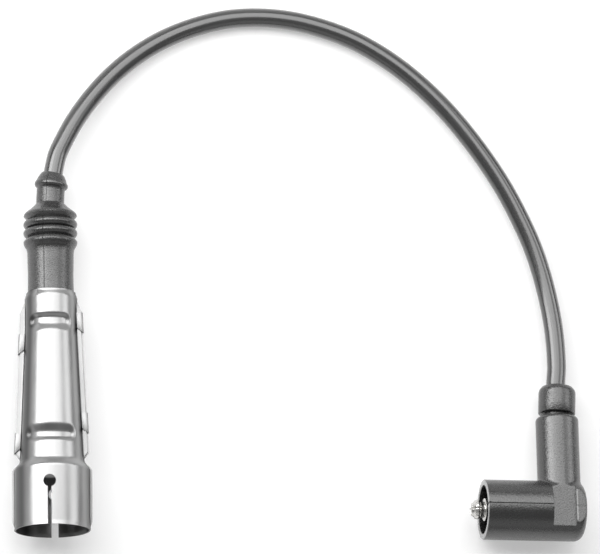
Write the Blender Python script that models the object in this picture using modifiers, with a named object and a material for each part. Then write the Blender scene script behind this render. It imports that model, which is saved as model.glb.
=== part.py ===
"""Spark plug wire: a short ignition lead with a shielded spark plug connector and an elbow connector.

The lead lies flat, +Z up. X is the picture's width, Y its height. The origin is the middle of
the two connectors' footprint, on the floor. Sizes are in millimetres times MM, so in metres.
"""

import math

import bmesh
import bpy
import numpy as np
from mathutils import Euler, Matrix, Vector

MM = 0.001

# General
GAP = 0.3 * MM               # clearance between pieces that touch or slide into each other
SHEET = 0.5 * MM             # steel sheet of the shield
MERGE = 0.001 * MM
TURN_STEPS = 32
SMALL_TURN_STEPS = 20

# Cable
CABLE_R = 3.5 * MM
CABLE_SIDES_RESOLUTION = 4
CABLE_STEP = 4 * CABLE_R     # distance between the points of the free stretch, two diameters

# Contact parts that both connectors hold: resistor with end caps, spring, cable ferrule
ROD_R = 2.7 * MM
ROD_LEN = 11.4 * MM          # of the spark plug connector's resistor
CAP_WALL = 0.5 * MM
CAP_END = 0.6 * MM
CAP_LEN = 2.5 * MM
SPRING_WIRE_R = 0.3 * MM
SPRING_R = 2.3 * MM
SPRING_LEN = 3.2 * MM
SPRING_TURNS = 2.5
SPRING_POINTS_PER_TURN = 12
FERRULE_WALL = 0.6 * MM
FERRULE_FLOOR = 1.0 * MM
FERRULE_LEN = 10.0 * MM

# Spark plug connector, heights along its axis from the open mouth
CUP_R = 13.4 * MM
CUP_LEN = 21.5 * MM
SHOULDER_LEN = 3.7 * MM
CONE_LOW_R = 11.25 * MM
CONE_LEN = 49.0 * MM         # from the shoulder's top to where the shield turns cylindrical
COLLAR_LEN = 10.2 * MM       # cylindrical stretch above the cone
LIP_LEN = 2.6 * MM
LIP_GROOVE = 0.6 * MM        # how far the rolled lip bites into the boot
ARC_STEPS = 20

# Flanges along the sides of the shield, and the tabs that crimp them
FLANGE = 2.2 * MM
CUP_FLANGE = 0.95 * MM
CUP_FLANGE_START = 1.0 * MM   # the cup's flanges are cut aslant near the mouth, from here
CUP_FLANGE_RAMP = 2.2 * MM
END_FLANGE = 0.4 * MM
FLANGE_FOOT = 3.0 * MM       # above the shoulder's top
FLANGE_RAMP = 2.4 * MM
FLANGE_HEAD = 5.0 * MM       # below the lip's start
FLANGE_HEAD_RAMP = 4.2 * MM
TAB_LEN = 6.8 * MM
TAB_REACH = 2.0 * MM
TAB_PROUD = 0.25 * MM
TAB_SLANT = 1.2 * MM
TAB_LEFT_HEIGHTS = (3.5 * MM, 39.8 * MM)     # lower ends, above the shoulder's top
TAB_RIGHT_HEIGHTS = (10.6 * MM, 47.4 * MM)

# Beads pressed into the shield, and the keyhole in each side of the cup
BEAD_HEIGHTS = (9.0 * MM, 49.5 * MM)         # above the shoulder's top
BEAD_HALF = 3.5 * MM
BEAD_SLOPE = 2.2 * MM
BEAD_DEPTH = 0.8 * MM
BEAD_HALF_ANGLE = math.radians(58)
BEAD_END_ANGLE = math.radians(16)
KEYHOLE_R = 2.25 * MM
KEYHOLE_HEIGHT = 15.7 * MM
FRONT_SLIT = 1.45 * MM
BACK_SLIT = 2.5 * MM

# Insulator tube inside the shield
SEAL_BORE_R = 7.6 * MM
SEAL_BORE_LEN = 9.5 * MM
SEAL_R = 5.9 * MM
SEAL_LIP = 0.5 * MM
PORCELAIN_BORE_R = 6.4 * MM
PORCELAIN_DEPTH = 32.5 * MM  # from the insulator's lower end to the clip's seat
CLIP_CHAMBER_LEN = 13.0 * MM
NECK_WALL = 1.6 * MM
NECK_DROP = 5.0 * MM         # the neck starts this far below the lip's start
NECK_COVER = 1.0 * MM        # the neck stands this far above the ferrule

# Contact clip that snaps on to the spark plug
CLIP_SOCKET_R = 3.3 * MM
CLIP_WALL = 0.7 * MM
CLIP_FLANGE_LEN = 1.2 * MM
CLIP_HEAD = 1.7 * MM
CLIP_BOSS_LEN = 2.7 * MM
CLIP_SLOT = 0.8 * MM
CLIP_SLOT_LEN = 9.0 * MM
RING_WIRE_R = 0.35 * MM
RING_HEIGHT = 6.5 * MM       # above the clip's flange

# Rubber boot
SLEEVE_WALL = 1.7 * MM
SLEEVE_OUT = 17.1 * MM       # sleeve length between the lip and the bellows
LOBES = 4
LOBE_PITCH = 3.2 * MM
LOBE_RISE = 1.4 * MM
CREASE_RISE = 0.25 * MM
LOBE_POINTS = 5
LOBE_SHARPNESS = 0.6
SKIRT_LEN = 1.8 * MM          # the lowest lobe runs out this much further
SHOULDER_RISE = 2.6 * MM
BOOT_NECK_WALL = 1.25 * MM
BOOT_NECK_LEN = 6.0 * MM
DOME_RISE = 0.95 * MM
DOME_LEN = 5.4 * MM
BOOT_BEND = math.radians(11)

# Elbow connector, lengths from the corner where its two axes meet
SOCKET_R = 8.8 * MM
SOCKET_DEPTH = 14.0 * MM
BARREL_WALL = 2.1 * MM
MOUTH_LEN = 28.4 * MM
REAR_LEN = 8.4 * MM
MOUTH_CHAMFER = 0.3 * MM
REAR_FILLET = 3.4 * MM
FILLET_STEPS = 4
TUBE_WALL = 3.1 * MM
TUBE_LEN = 35.0 * MM
TUBE_FILLET = 1.2 * MM
FLAT_LENS = (4.3 * MM, 4.2 * MM)             # of the deep flat, towards mouth and rear
FLAT_MARGIN = 0.1 * MM       # the deep flat clears the tube by this
FLAT_STEP = 1.0 * MM

# Split pin terminal of the elbow
PIN_SHANK_R = 2.5 * MM
PIN_SHANK_END = 3.4 * MM     # how far the shank passes the corner
PIN_SHAFT_R = 3.2 * MM
PIN_DISC_R = 4.2 * MM
PIN_DISC_LEN = 0.9 * MM
PIN_DISC_BACK = 0.4 * MM     # the disc's face lies this far inside the mouth
PIN_NECK_R = 2.9 * MM
PIN_BEAD_R = 3.5 * MM
PIN_TIP_R = 2.2 * MM
PIN_PROUD = 4.6 * MM
PIN_SLOT = 0.7 * MM

# Rubber grommet at the elbow's cable end
GROMMET_LIFT = 1.0 * MM      # visible gap to the tube
GROMMET_LEN = 10.6 * MM
GROMMET_WALL = 2.95 * MM
GROMMET_CHAMFER = 1.9 * MM
SPIGOT_WALL = 0.6 * MM
SPIGOT_LEN = 4.6 * MM

# Where the connectors lie
PLUG_MOUTH = (-89.6 * MM, -65.4 * MM)
PLUG_YAW = math.radians(0.5)
SHIELD_ROLL = math.radians(-12)
ELBOW_CORNER = (96.2 * MM, -52.7 * MM)
ELBOW_YAW = math.radians(0.4)

# Route of the cable between the connectors, on the floor between its two ends
ROUTE = [
    (-88.2, 72.3, 8.8),
    (-86.3, 76.9, 8.5),
    (-81.5, 86.0, 7.65),
    (-75.1, 95.3, 6.5),
    (-67.3, 104.2, 5.3),
    (-58.6, 111.8, 4.4),
    (-48.4, 118.4, 3.75),
    (-36.9, 123.5, 3.6),
    (-24.8, 126.8, 3.6),
    (-12.6, 127.9, 3.6),
    (-0.5, 127.1, 3.6),
    (10.9, 124.6, 3.6),
    (21.8, 120.8, 3.6),
    (31.8, 115.6, 3.6),
    (41.0, 109.4, 3.6),
    (49.4, 102.4, 3.6),
    (57.1, 94.8, 3.6),
    (64.3, 86.4, 3.6),
    (71.1, 77.4, 3.6),
    (77.4, 67.8, 3.6),
    (83.3, 56.9, 3.6),
    (88.6, 44.9, 3.7),
    (92.7, 31.3, 4.1),
    (95.5, 16.3, 4.95),
    (96.4, 2.0, 6.0),
]

# Worked out: radii that fit into each other
CABLE_FIT_R = CABLE_R + GAP
FERRULE_R = CABLE_FIT_R + FERRULE_WALL
FERRULE_BORE_R = FERRULE_R + GAP
NECK_R = FERRULE_BORE_R + NECK_WALL
SLEEVE_FIT_R = NECK_R + GAP
SLEEVE_R = SLEEVE_FIT_R + SLEEVE_WALL
COLLAR_R = SLEEVE_R + GAP + SHEET
LIP_R = COLLAR_R - LIP_GROOVE
CAP_R = ROD_R + GAP + CAP_WALL
CHAMBER_R = CAP_R + GAP
LOBE_R = SLEEVE_R + LOBE_RISE
CREASE_R = SLEEVE_R + CREASE_RISE
BOOT_NECK_R = CABLE_FIT_R + BOOT_NECK_WALL
DOME_R = BOOT_NECK_R + DOME_RISE
BARREL_R = SOCKET_R + BARREL_WALL
TUBE_R = FERRULE_BORE_R + TUBE_WALL
DEEP_FLAT = TUBE_R + FLAT_MARGIN
SHALLOW_FLAT = DEEP_FLAT + FLAT_STEP
GROMMET_R = CABLE_FIT_R + GROMMET_WALL
SPIGOT_R = FERRULE_BORE_R - GAP

# Worked out: heights along the spark plug connector
CONE_S = CUP_LEN + SHOULDER_LEN
COLLAR_S = CONE_S + CONE_LEN
LIP_S = COLLAR_S + COLLAR_LEN
SHIELD_S = LIP_S + LIP_LEN
CLIP_SEAT_S = CONE_S + PORCELAIN_DEPTH
CLIP_TOP_S = CLIP_SEAT_S + CLIP_CHAMBER_LEN
CAP_ENDS = 2 * (CAP_END + GAP)
SPRING_SPACE = SPRING_LEN + 2 * GAP
PLUG_STACK_S = CLIP_TOP_S + CLIP_BOSS_LEN + GAP
PLUG_FERRULE_S = PLUG_STACK_S + CAP_ENDS + ROD_LEN + SPRING_SPACE
NECK_S = LIP_S - NECK_DROP
NECK_TOP_S = PLUG_FERRULE_S + FERRULE_LEN + NECK_COVER
BELLOWS_S = SHIELD_S + SLEEVE_OUT
BELLOWS_TOP_S = BELLOWS_S + LOBES * LOBE_PITCH
BOOT_NECK_S = BELLOWS_TOP_S + SHOULDER_RISE
DOME_S = BOOT_NECK_S + BOOT_NECK_LEN
BOOT_TOP_S = DOME_S + DOME_LEN
REST_LOBE_S = BELLOWS_TOP_S - LOBE_PITCH / 2

# Worked out: the elbow's resistor and ferrule, along the tube. The resistor fills what the others leave
ELBOW_STACK_D = PIN_SHANK_R + GAP
ELBOW_FERRULE_D = TUBE_LEN - SPIGOT_LEN - 2 * GAP - FERRULE_LEN
ELBOW_ROD_LEN = ELBOW_FERRULE_D - SPRING_SPACE - CAP_ENDS - ELBOW_STACK_D
GROMMET_D = TUBE_LEN + GROMMET_LIFT
GROMMET_TOP_D = GROMMET_D + GROMMET_LEN

# Worked out: the connectors rest on the floor on two places each, the spark plug connector on the
# cup's upper edge and the top lobe
PLUG_INCLINE = math.asin((CUP_R - LOBE_R) / (REST_LOBE_S - CUP_LEN))
PLUG_MOUTH_Z = CUP_R * math.cos(PLUG_INCLINE) + CUP_LEN * math.sin(PLUG_INCLINE)
ELBOW_ROLL = math.asin((BARREL_R - TUBE_R) / (TUBE_LEN - TUBE_FILLET))
PLUG_PLACE = Matrix.Translation((*PLUG_MOUTH, PLUG_MOUTH_Z)) @ Euler(
    (-math.pi / 2 - PLUG_INCLINE, 0, PLUG_YAW)).to_matrix().to_4x4()
ELBOW_PLACE = Matrix.Translation((*ELBOW_CORNER, BARREL_R)) @ Euler(
    (-ELBOW_ROLL, 0, ELBOW_YAW)).to_matrix().to_4x4()

# How a turned piece stands in its connector's frame
ALONG_PLUG = (0, 0, 0)
ALONG_TUBE = (-math.pi / 2, 0, 0)
ALONG_BARREL = (0, -math.pi / 2, 0)


def clear_scene():
    """Start from an empty file."""
    for old in list(bpy.data.objects):
        bpy.data.objects.remove(old, do_unlink=True)


def make_collection(name):
    """Add a collection to the scene."""
    collection = bpy.data.collections.new(name)
    bpy.context.scene.collection.children.link(collection)
    return collection


clear_scene()
PART = make_collection("spark_plug_wire")
CUTTERS = make_collection("cutters")


def make_material(name, colour, roughness, metallic):
    """A plain Principled material."""
    material = bpy.data.materials.new(name)
    material.use_nodes = True
    shader = material.node_tree.nodes["Principled BSDF"]
    shader.inputs["Base Color"].default_value = (*colour, 1.0)
    shader.inputs["Roughness"].default_value = roughness
    shader.inputs["Metallic"].default_value = metallic
    return material


def steel_sheet():
    """Bright sheet steel of the shield."""
    return make_material("sheet_steel", (0.62, 0.62, 0.62), 0.25, 1.0)


def plated_steel():
    """Nickel plated terminal steel."""
    return make_material("plated_steel", (0.7, 0.7, 0.68), 0.3, 1.0)


def spring_steel():
    """Drawn spring wire."""
    return make_material("spring_steel", (0.5, 0.5, 0.5), 0.35, 1.0)


def brass():
    """Turned brass of the clip, the caps and the ferrules."""
    return make_material("brass", (0.72, 0.53, 0.25), 0.3, 1.0)


def black_rubber():
    """Moulded rubber of the boot, the grommet and the seal."""
    return make_material("black_rubber", (0.03, 0.03, 0.03), 0.55, 0.0)


def cable_jacket():
    """Extruded jacket of the cable."""
    return make_material("cable_jacket", (0.05, 0.05, 0.05), 0.35, 0.0)


def moulded_plastic():
    """Moulded plastic of the elbow and the insulator."""
    return make_material("moulded_plastic", (0.04, 0.04, 0.04), 0.4, 0.0)


def ceramic():
    """Pale body of the resistors."""
    return make_material("ceramic", (0.75, 0.7, 0.6), 0.6, 0.0)


def add_object(name, data, material=None, collection=PART):
    """Link new object data, as a sub-part or as a hidden cutter."""
    thing = bpy.data.objects.new(name, data)
    collection.objects.link(thing)
    if material is not None:
        data.materials.append(material)
    if collection is CUTTERS:
        thing.hide_render = True
        thing.display_type = "WIRE"
    return thing


def add_frame(name, place, parent=None):
    """An empty that carries the pieces of one connector."""
    frame = bpy.data.objects.new(name, None)
    PART.objects.link(frame)
    frame.parent = parent
    frame.matrix_local = place
    return frame


def place(thing, frame, rotation=ALONG_PLUG, location=(0, 0, 0)):
    """Stand a piece in its frame."""
    thing.parent = frame
    thing.rotation_euler = rotation
    thing.location = location
    return thing


def turned(name, profile, closed, material=None, collection=PART, steps=TURN_STEPS):
    """Turn a profile of (radius, height) points about Z; its outer side runs downwards."""
    mesh = bpy.data.meshes.new(name)
    points = [(radius, 0, height) for radius, height in profile]
    edges = [(i, i + 1) for i in range(len(points) - 1)]
    if closed:
        edges.append((len(points) - 1, 0))
    mesh.from_pydata(points, edges, [])
    thing = add_object(name, mesh, material, collection)
    screw = thing.modifiers.new("turn", "SCREW")
    screw.axis = "Z"
    screw.steps = steps
    screw.render_steps = steps
    screw.use_merge_vertices = True
    screw.merge_threshold = MERGE
    screw.use_smooth_shade = True
    return thing


def block(name, low, high):
    """A box cutter between two corners."""
    mesh = bpy.data.meshes.new(name)
    shape = bmesh.new()
    bmesh.ops.create_cube(shape, size=1.0)
    size = [b - a for a, b in zip(low, high)]
    middle = [(a + b) / 2 for a, b in zip(low, high)]
    bmesh.ops.scale(shape, vec=size, verts=shape.verts)
    bmesh.ops.translate(shape, vec=middle, verts=shape.verts)
    shape.to_mesh(mesh)
    shape.free()
    return add_object(name, mesh, collection=CUTTERS)


def combine(thing, other, operation):
    """Cut or join a piece with another by an exact Boolean."""
    modifier = thing.modifiers.new(operation.lower(), "BOOLEAN")
    modifier.operation = operation
    modifier.solver = "EXACT"
    modifier.object = other


def shade_round(thing, angle=math.radians(35)):
    """Smooth shading with sharp edges kept."""
    thing.data.shade_smooth()
    thing.data.set_sharp_from_angle(angle=angle)


def ease(t):
    """Smooth step from 0 to 1."""
    t = min(max(t, 0.0), 1.0)
    return (1 - math.cos(math.pi * t)) / 2


def rise(distance, half, slope):
    """1 within a bead's flat bottom, 0 outside it, smooth between."""
    return ease((half - abs(distance)) / slope)


def fillet(corner_r, corner_height, radius, upwards):
    """Points of a rounded outer edge, from the end face to the side or back."""
    sign = 1 if upwards else -1
    points = []
    for step in range(FILLET_STEPS + 1):
        angle = math.pi / 2 * step / FILLET_STEPS
        points.append((
            corner_r - radius + radius * math.sin(angle),
            corner_height - sign * radius + sign * radius * math.cos(angle),
        ))
    return points if upwards else points[::-1]


def shield_radius(height):
    """Outer radius of the shield at a height."""
    slope = (COLLAR_R - CONE_LOW_R) / CONE_LEN
    if height <= CUP_LEN:
        return CUP_R
    if height <= CONE_S:
        return CUP_R + (CONE_LOW_R - CUP_R) * ease((height - CUP_LEN) / SHOULDER_LEN)
    if height <= COLLAR_S:
        return CONE_LOW_R + slope * (height - CONE_S)
    if height <= LIP_S:
        return COLLAR_R
    return COLLAR_R + (LIP_R - COLLAR_R) * ease((height - LIP_S) / LIP_LEN)


def bead_depth(height):
    """How deep the beads press in at a height, along the middle of the front."""
    return BEAD_DEPTH * sum(rise(height - CONE_S - bead, BEAD_HALF, BEAD_SLOPE) for bead in BEAD_HEIGHTS)


def flange_width(height):
    """How far the flange stands out beside the body at a height."""
    foot = CONE_S + FLANGE_FOOT
    head = LIP_S - FLANGE_HEAD
    if height <= CUP_LEN:
        share = min(max((height - CUP_FLANGE_START) / CUP_FLANGE_RAMP, 0.0), 1.0)
        return END_FLANGE + (CUP_FLANGE - END_FLANGE) * share
    if height <= foot - FLANGE_RAMP:
        return CUP_FLANGE + (END_FLANGE - CUP_FLANGE) * ease(
            (height - CUP_LEN) / (foot - FLANGE_RAMP - CUP_LEN))
    if height <= foot:
        return FLANGE + (END_FLANGE - FLANGE) * (foot - height) / FLANGE_RAMP
    if height <= head:
        return FLANGE
    return FLANGE + (END_FLANGE - FLANGE) * min((height - head) / FLANGE_HEAD_RAMP, 1.0)


def shield_heights():
    """Heights of the shield's cross sections, close together where it curves."""
    heights = {0.0, CUP_LEN / 2, CUP_LEN, COLLAR_S, LIP_S - FLANGE_HEAD, LIP_S}
    heights |= {CUP_FLANGE_START, CUP_FLANGE_START + CUP_FLANGE_RAMP, LIP_S - FLANGE_HEAD + FLANGE_HEAD_RAMP}
    heights |= {CUP_LEN + SHOULDER_LEN * step / 5 for step in range(1, 6)}
    heights |= {CONE_S + FLANGE_FOOT - FLANGE_RAMP, CONE_S + FLANGE_FOOT}
    heights |= {LIP_S + LIP_LEN * step / 4 for step in range(1, 5)}
    for bead in BEAD_HEIGHTS:
        for offset in (BEAD_HALF, BEAD_HALF - BEAD_SLOPE / 3, BEAD_HALF - BEAD_SLOPE * 2 / 3,
                       BEAD_HALF - BEAD_SLOPE):
            heights |= {CONE_S + bead - offset, CONE_S + bead + offset}
    return sorted(heights)


def half_section(height, side, inset):
    """Outer surface of one half of the shield at a height, from flange edge to flange edge.

    side is -1 for the front half and 1 for the back half. inset narrows the flange.
    """
    radius = shield_radius(height)
    face = GAP / 2 + SHEET
    start = math.asin(face / radius)
    edge = radius + max(flange_width(height) - inset, END_FLANGE / 2)
    points = [(-edge, side * face, height)]
    for step in range(ARC_STEPS + 1):
        angle = start + (math.pi - 2 * start) * step / ARC_STEPS
        away = abs(angle - math.pi / 2)
        pressed = bead_depth(height) * rise(away, BEAD_HALF_ANGLE, BEAD_END_ANGLE)
        reach = radius - pressed
        points.append((-reach * math.cos(angle), side * reach * math.sin(angle), height))
    points.append((edge, side * face, height))
    return points


def half_shell(name, side, inset, material):
    """One half of the shield as a surface with the sheet's thickness."""
    mesh = bpy.data.meshes.new(name)
    shape = bmesh.new()
    rows = [[shape.verts.new(point) for point in half_section(height, side, inset)]
            for height in shield_heights()]
    for lower, upper in zip(rows, rows[1:]):
        for i in range(len(lower) - 1):
            corners = [lower[i], lower[i + 1], upper[i + 1], upper[i]]
            shape.faces.new(corners if side < 0 else corners[::-1])
    shape.to_mesh(mesh)
    shape.free()
    shell = add_object(name, mesh, material)
    shade_round(shell)
    sheet = shell.modifiers.new("sheet", "SOLIDIFY")
    sheet.thickness = SHEET
    sheet.offset = -1
    sheet.use_even_offset = True
    return shell


def keyhole(shell, frame, side, slit):
    """Cut the round hole and the slit below it into one side of the cup."""
    far = side * (CUP_R + SHEET)
    near = side * CUP_R / 2
    low, high = min(far, near), max(far, near)
    mesh = bpy.data.meshes.new("hole")
    shape = bmesh.new()
    bmesh.ops.create_cone(shape, cap_ends=True, segments=24, radius1=KEYHOLE_R, radius2=KEYHOLE_R,
                          depth=high - low)
    shape.to_mesh(mesh)
    shape.free()
    hole = add_object(shell.name + "_hole", mesh, collection=CUTTERS)
    place(hole, frame, (math.pi / 2, 0, 0), (0, (low + high) / 2, KEYHOLE_HEIGHT))
    cut = block(shell.name + "_slit", (-slit / 2, low, -SHEET), (slit / 2, high, KEYHOLE_HEIGHT))
    place(cut, frame)
    combine(shell, hole, "DIFFERENCE")
    combine(shell, cut, "DIFFERENCE")


def crimp_tab(name, frame, side, lower):
    """A tab of the back half, folded round the front half's flange. side is -1 left, 1 right."""
    fold = -(GAP / 2 + SHEET + GAP)
    outline = [
        (TAB_PROUD, (GAP + SHEET) / 2),
        (TAB_PROUD, fold - SHEET),
        (TAB_PROUD - TAB_REACH, fold - SHEET),
        (TAB_PROUD - TAB_REACH, fold),
        (TAB_PROUD - SHEET, fold),
        (TAB_PROUD - SHEET, (GAP + SHEET) / 2),
    ]
    mesh = bpy.data.meshes.new(name)
    shape = bmesh.new()
    rings = []
    for height in (CONE_S + lower, CONE_S + lower + TAB_LEN):
        edge = shield_radius(height) + flange_width(height)
        slant = TAB_SLANT if height < CONE_S + lower + TAB_LEN / 2 else 0.0
        rings.append([
            shape.verts.new((side * (edge + out), y, height - slant * (1 - (TAB_PROUD - out) / TAB_REACH)))
            for out, y in outline])
    count = len(outline)
    for i in range(count):
        j = (i + 1) % count
        shape.faces.new([rings[0][i], rings[0][j], rings[1][j], rings[1][i]])
    shape.faces.new(rings[0])
    shape.faces.new(rings[1][::-1])
    bmesh.ops.recalc_face_normals(shape, faces=shape.faces)
    shape.to_mesh(mesh)
    shape.free()
    tab = add_object(name, mesh, collection=CUTTERS)
    return place(tab, frame)


def plug_shield_front(frame, material):
    """Front half of the shield."""
    shell = half_shell("plug_shield_front", -1, SHEET - TAB_PROUD + GAP, material)
    place(shell, frame)
    keyhole(shell, frame, -1, FRONT_SLIT)


def plug_shield_back(frame, material):
    """Back half of the shield, with the tabs that hold the front half."""
    shell = half_shell("plug_shield_back", 1, 0.0, material)
    place(shell, frame)
    keyhole(shell, frame, 1, BACK_SLIT)
    for side, heights in ((-1, TAB_LEFT_HEIGHTS), (1, TAB_RIGHT_HEIGHTS)):
        for number, lower in enumerate(heights):
            label = "left" if side < 0 else "right"
            combine(shell, crimp_tab(f"tab_{label}_{number}", frame, side, lower), "UNION")


def plug_insulator(frame, material):
    """Moulded tube that holds the contact parts; ring grooves receive the shield's beads."""
    def outer(height):
        return shield_radius(height) - SHEET - GAP - bead_depth(height)

    heights = [h for h in shield_heights() if CONE_S < h < NECK_S - GAP]
    profile = [(NECK_R, NECK_TOP_S), (NECK_R, NECK_S)]
    profile += [(outer(h), h) for h in [NECK_S] + heights[::-1] + [CONE_S]]
    profile += [
        (SEAL_BORE_R, CONE_S),
        (SEAL_BORE_R, CONE_S + SEAL_BORE_LEN),
        (PORCELAIN_BORE_R, CONE_S + SEAL_BORE_LEN),
        (PORCELAIN_BORE_R, CLIP_SEAT_S),
        (clip_chamber_r(), CLIP_SEAT_S),
        (clip_chamber_r(), CLIP_TOP_S),
        (CHAMBER_R, CLIP_TOP_S),
        (CHAMBER_R, PLUG_FERRULE_S - GAP),
        (FERRULE_BORE_R, PLUG_FERRULE_S - GAP),
        (FERRULE_BORE_R, NECK_TOP_S),
    ]
    place(turned("plug_insulator", profile, True, material), frame)


def clip_r():
    """Outer radius of the contact clip."""
    return CLIP_SOCKET_R + CLIP_WALL


def clip_chamber_r():
    """Radius of the chamber that holds the clip and its ring spring."""
    return clip_r() + GAP + 2 * RING_WIRE_R + GAP


def plug_seal(frame, material):
    """Rubber ring that grips the spark plug's porcelain."""
    low = CONE_S + GAP
    high = CONE_S + SEAL_BORE_LEN - GAP
    outer = SEAL_BORE_R - GAP
    middle = (low + high) / 2
    profile = [
        (outer, high),
        (outer, low),
        (SEAL_R, low),
        (SEAL_R + SEAL_LIP, (low + middle) / 2),
        (SEAL_R, middle),
        (SEAL_R + SEAL_LIP, (middle + high) / 2),
        (SEAL_R, high),
    ]
    place(turned("plug_seal", profile, True, material, steps=24), frame)


def plug_contact_clip(frame, material):
    """Slotted socket that snaps on to the spark plug's terminal nut."""
    low = CLIP_SEAT_S - GAP - CLIP_FLANGE_LEN
    profile = [
        (0, CLIP_TOP_S + CLIP_BOSS_LEN),
        (CAP_R, CLIP_TOP_S + CLIP_BOSS_LEN),
        (CAP_R, CLIP_TOP_S - GAP),
        (clip_r(), CLIP_TOP_S - GAP),
        (clip_r(), CLIP_SEAT_S - GAP),
        (PORCELAIN_BORE_R - GAP, CLIP_SEAT_S - GAP),
        (PORCELAIN_BORE_R - GAP, low),
        (CLIP_SOCKET_R, low),
        (CLIP_SOCKET_R, CLIP_TOP_S - GAP - CLIP_HEAD),
        (0, CLIP_TOP_S - GAP - CLIP_HEAD),
    ]
    clip = place(turned("plug_contact_clip", profile, False, material, steps=24), frame)
    wide = PORCELAIN_BORE_R + GAP
    for number, (x, y) in enumerate(((wide, CLIP_SLOT / 2), (CLIP_SLOT / 2, wide))):
        slot = block(f"clip_slot_{number}", (-x, -y, low - GAP), (x, y, low + CLIP_SLOT_LEN))
        combine(clip, place(slot, frame), "DIFFERENCE")


def plug_clip_ring(frame, material):
    """Ring spring round the clip's fingers."""
    bpy.ops.mesh.primitive_torus_add(
        major_segments=24, minor_segments=6,
        major_radius=clip_r() + GAP + RING_WIRE_R, minor_radius=RING_WIRE_R)
    ring = bpy.context.object
    ring.name = "plug_clip_ring"
    for collection in list(ring.users_collection):
        collection.objects.unlink(ring)
    PART.objects.link(ring)
    ring.data.materials.append(material)
    shade_round(ring)
    place(ring, frame, location=(0, 0, CLIP_SEAT_S + RING_HEIGHT))


def resistor_stack(prefix, frame, rotation, start, rod_len, rod_material, cap_material):
    """A resistor rod with a cap on each end, standing on start along its frame's axis."""
    rod_low = start + CAP_END + GAP
    rod_high = rod_low + rod_len
    top = rod_high + GAP + CAP_END
    rod = [(0, rod_high), (ROD_R, rod_high), (ROD_R, rod_low), (0, rod_low)]
    lower = [
        (0, start + CAP_END),
        (CAP_R - CAP_WALL, start + CAP_END),
        (CAP_R - CAP_WALL, start + CAP_LEN),
        (CAP_R, start + CAP_LEN),
        (CAP_R, start),
        (0, start),
    ]
    upper = [
        (0, top),
        (CAP_R, top),
        (CAP_R, top - CAP_LEN),
        (CAP_R - CAP_WALL, top - CAP_LEN),
        (CAP_R - CAP_WALL, top - CAP_END),
        (0, top - CAP_END),
    ]
    pieces = (("resistor", rod, rod_material), ("resistor_cap_lower", lower, cap_material),
              ("resistor_cap_upper", upper, cap_material))
    for name, profile, material in pieces:
        piece = turned(f"{prefix}_{name}", profile, False, material, steps=SMALL_TURN_STEPS)
        place(piece, frame, rotation)


def contact_spring(prefix, frame, rotation, start, material):
    """Coil spring between the resistor and the cable's ferrule."""
    low = start + SPRING_WIRE_R
    high = start + SPRING_LEN - SPRING_WIRE_R
    count = int(SPRING_TURNS * SPRING_POINTS_PER_TURN) + 1
    curve = bpy.data.curves.new(prefix + "_contact_spring", "CURVE")
    curve.dimensions = "3D"
    curve.bevel_depth = SPRING_WIRE_R
    curve.bevel_resolution = 1
    curve.use_fill_caps = True
    line = curve.splines.new("POLY")
    line.points.add(count - 1)
    for i in range(count):
        share = i / (count - 1)
        angle = 2 * math.pi * SPRING_TURNS * share
        line.points[i].co = (SPRING_R * math.cos(angle), SPRING_R * math.sin(angle),
                             low + (high - low) * share, 1)
    spring = add_object(prefix + "_contact_spring", curve, material)
    place(spring, frame, rotation)


def cable_ferrule(prefix, frame, rotation, start, material):
    """Thimble that the cable's end sits in."""
    top = start + FERRULE_LEN
    profile = [
        (0, start + FERRULE_FLOOR),
        (CABLE_FIT_R, start + FERRULE_FLOOR),
        (CABLE_FIT_R, top),
        (FERRULE_R, top),
        (FERRULE_R, start),
        (0, start),
    ]
    place(turned(prefix + "_cable_ferrule", profile, False, material), frame, rotation)


def bend_point(point):
    """Bend a point of the spark plug connector with the boot's neck, towards +X."""
    length = BOOT_TOP_S - BOOT_NECK_S
    radius = length / BOOT_BEND
    beyond = point[2] - BOOT_NECK_S
    if beyond <= 0:
        return Vector(point)
    angle = beyond / radius
    return Vector((
        radius - (radius - point[0]) * math.cos(angle),
        point[1],
        BOOT_NECK_S + (radius - point[0]) * math.sin(angle),
    ))


def bellows():
    """Profile of the boot's bellows, from the top lobe down."""
    points = []
    for i in range(LOBES * LOBE_POINTS, -1, -1):
        share = (i % LOBE_POINTS) / LOBE_POINTS
        swell = math.sin(math.pi * share) ** LOBE_SHARPNESS if share else 0.0
        stretch = SKIRT_LEN * max(1 - 2 * i / LOBE_POINTS, 0.0)
        points.append((CREASE_R + (LOBE_R - CREASE_R) * swell,
                       BELLOWS_S + LOBE_PITCH * i / LOBE_POINTS - stretch))
    return points


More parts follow.
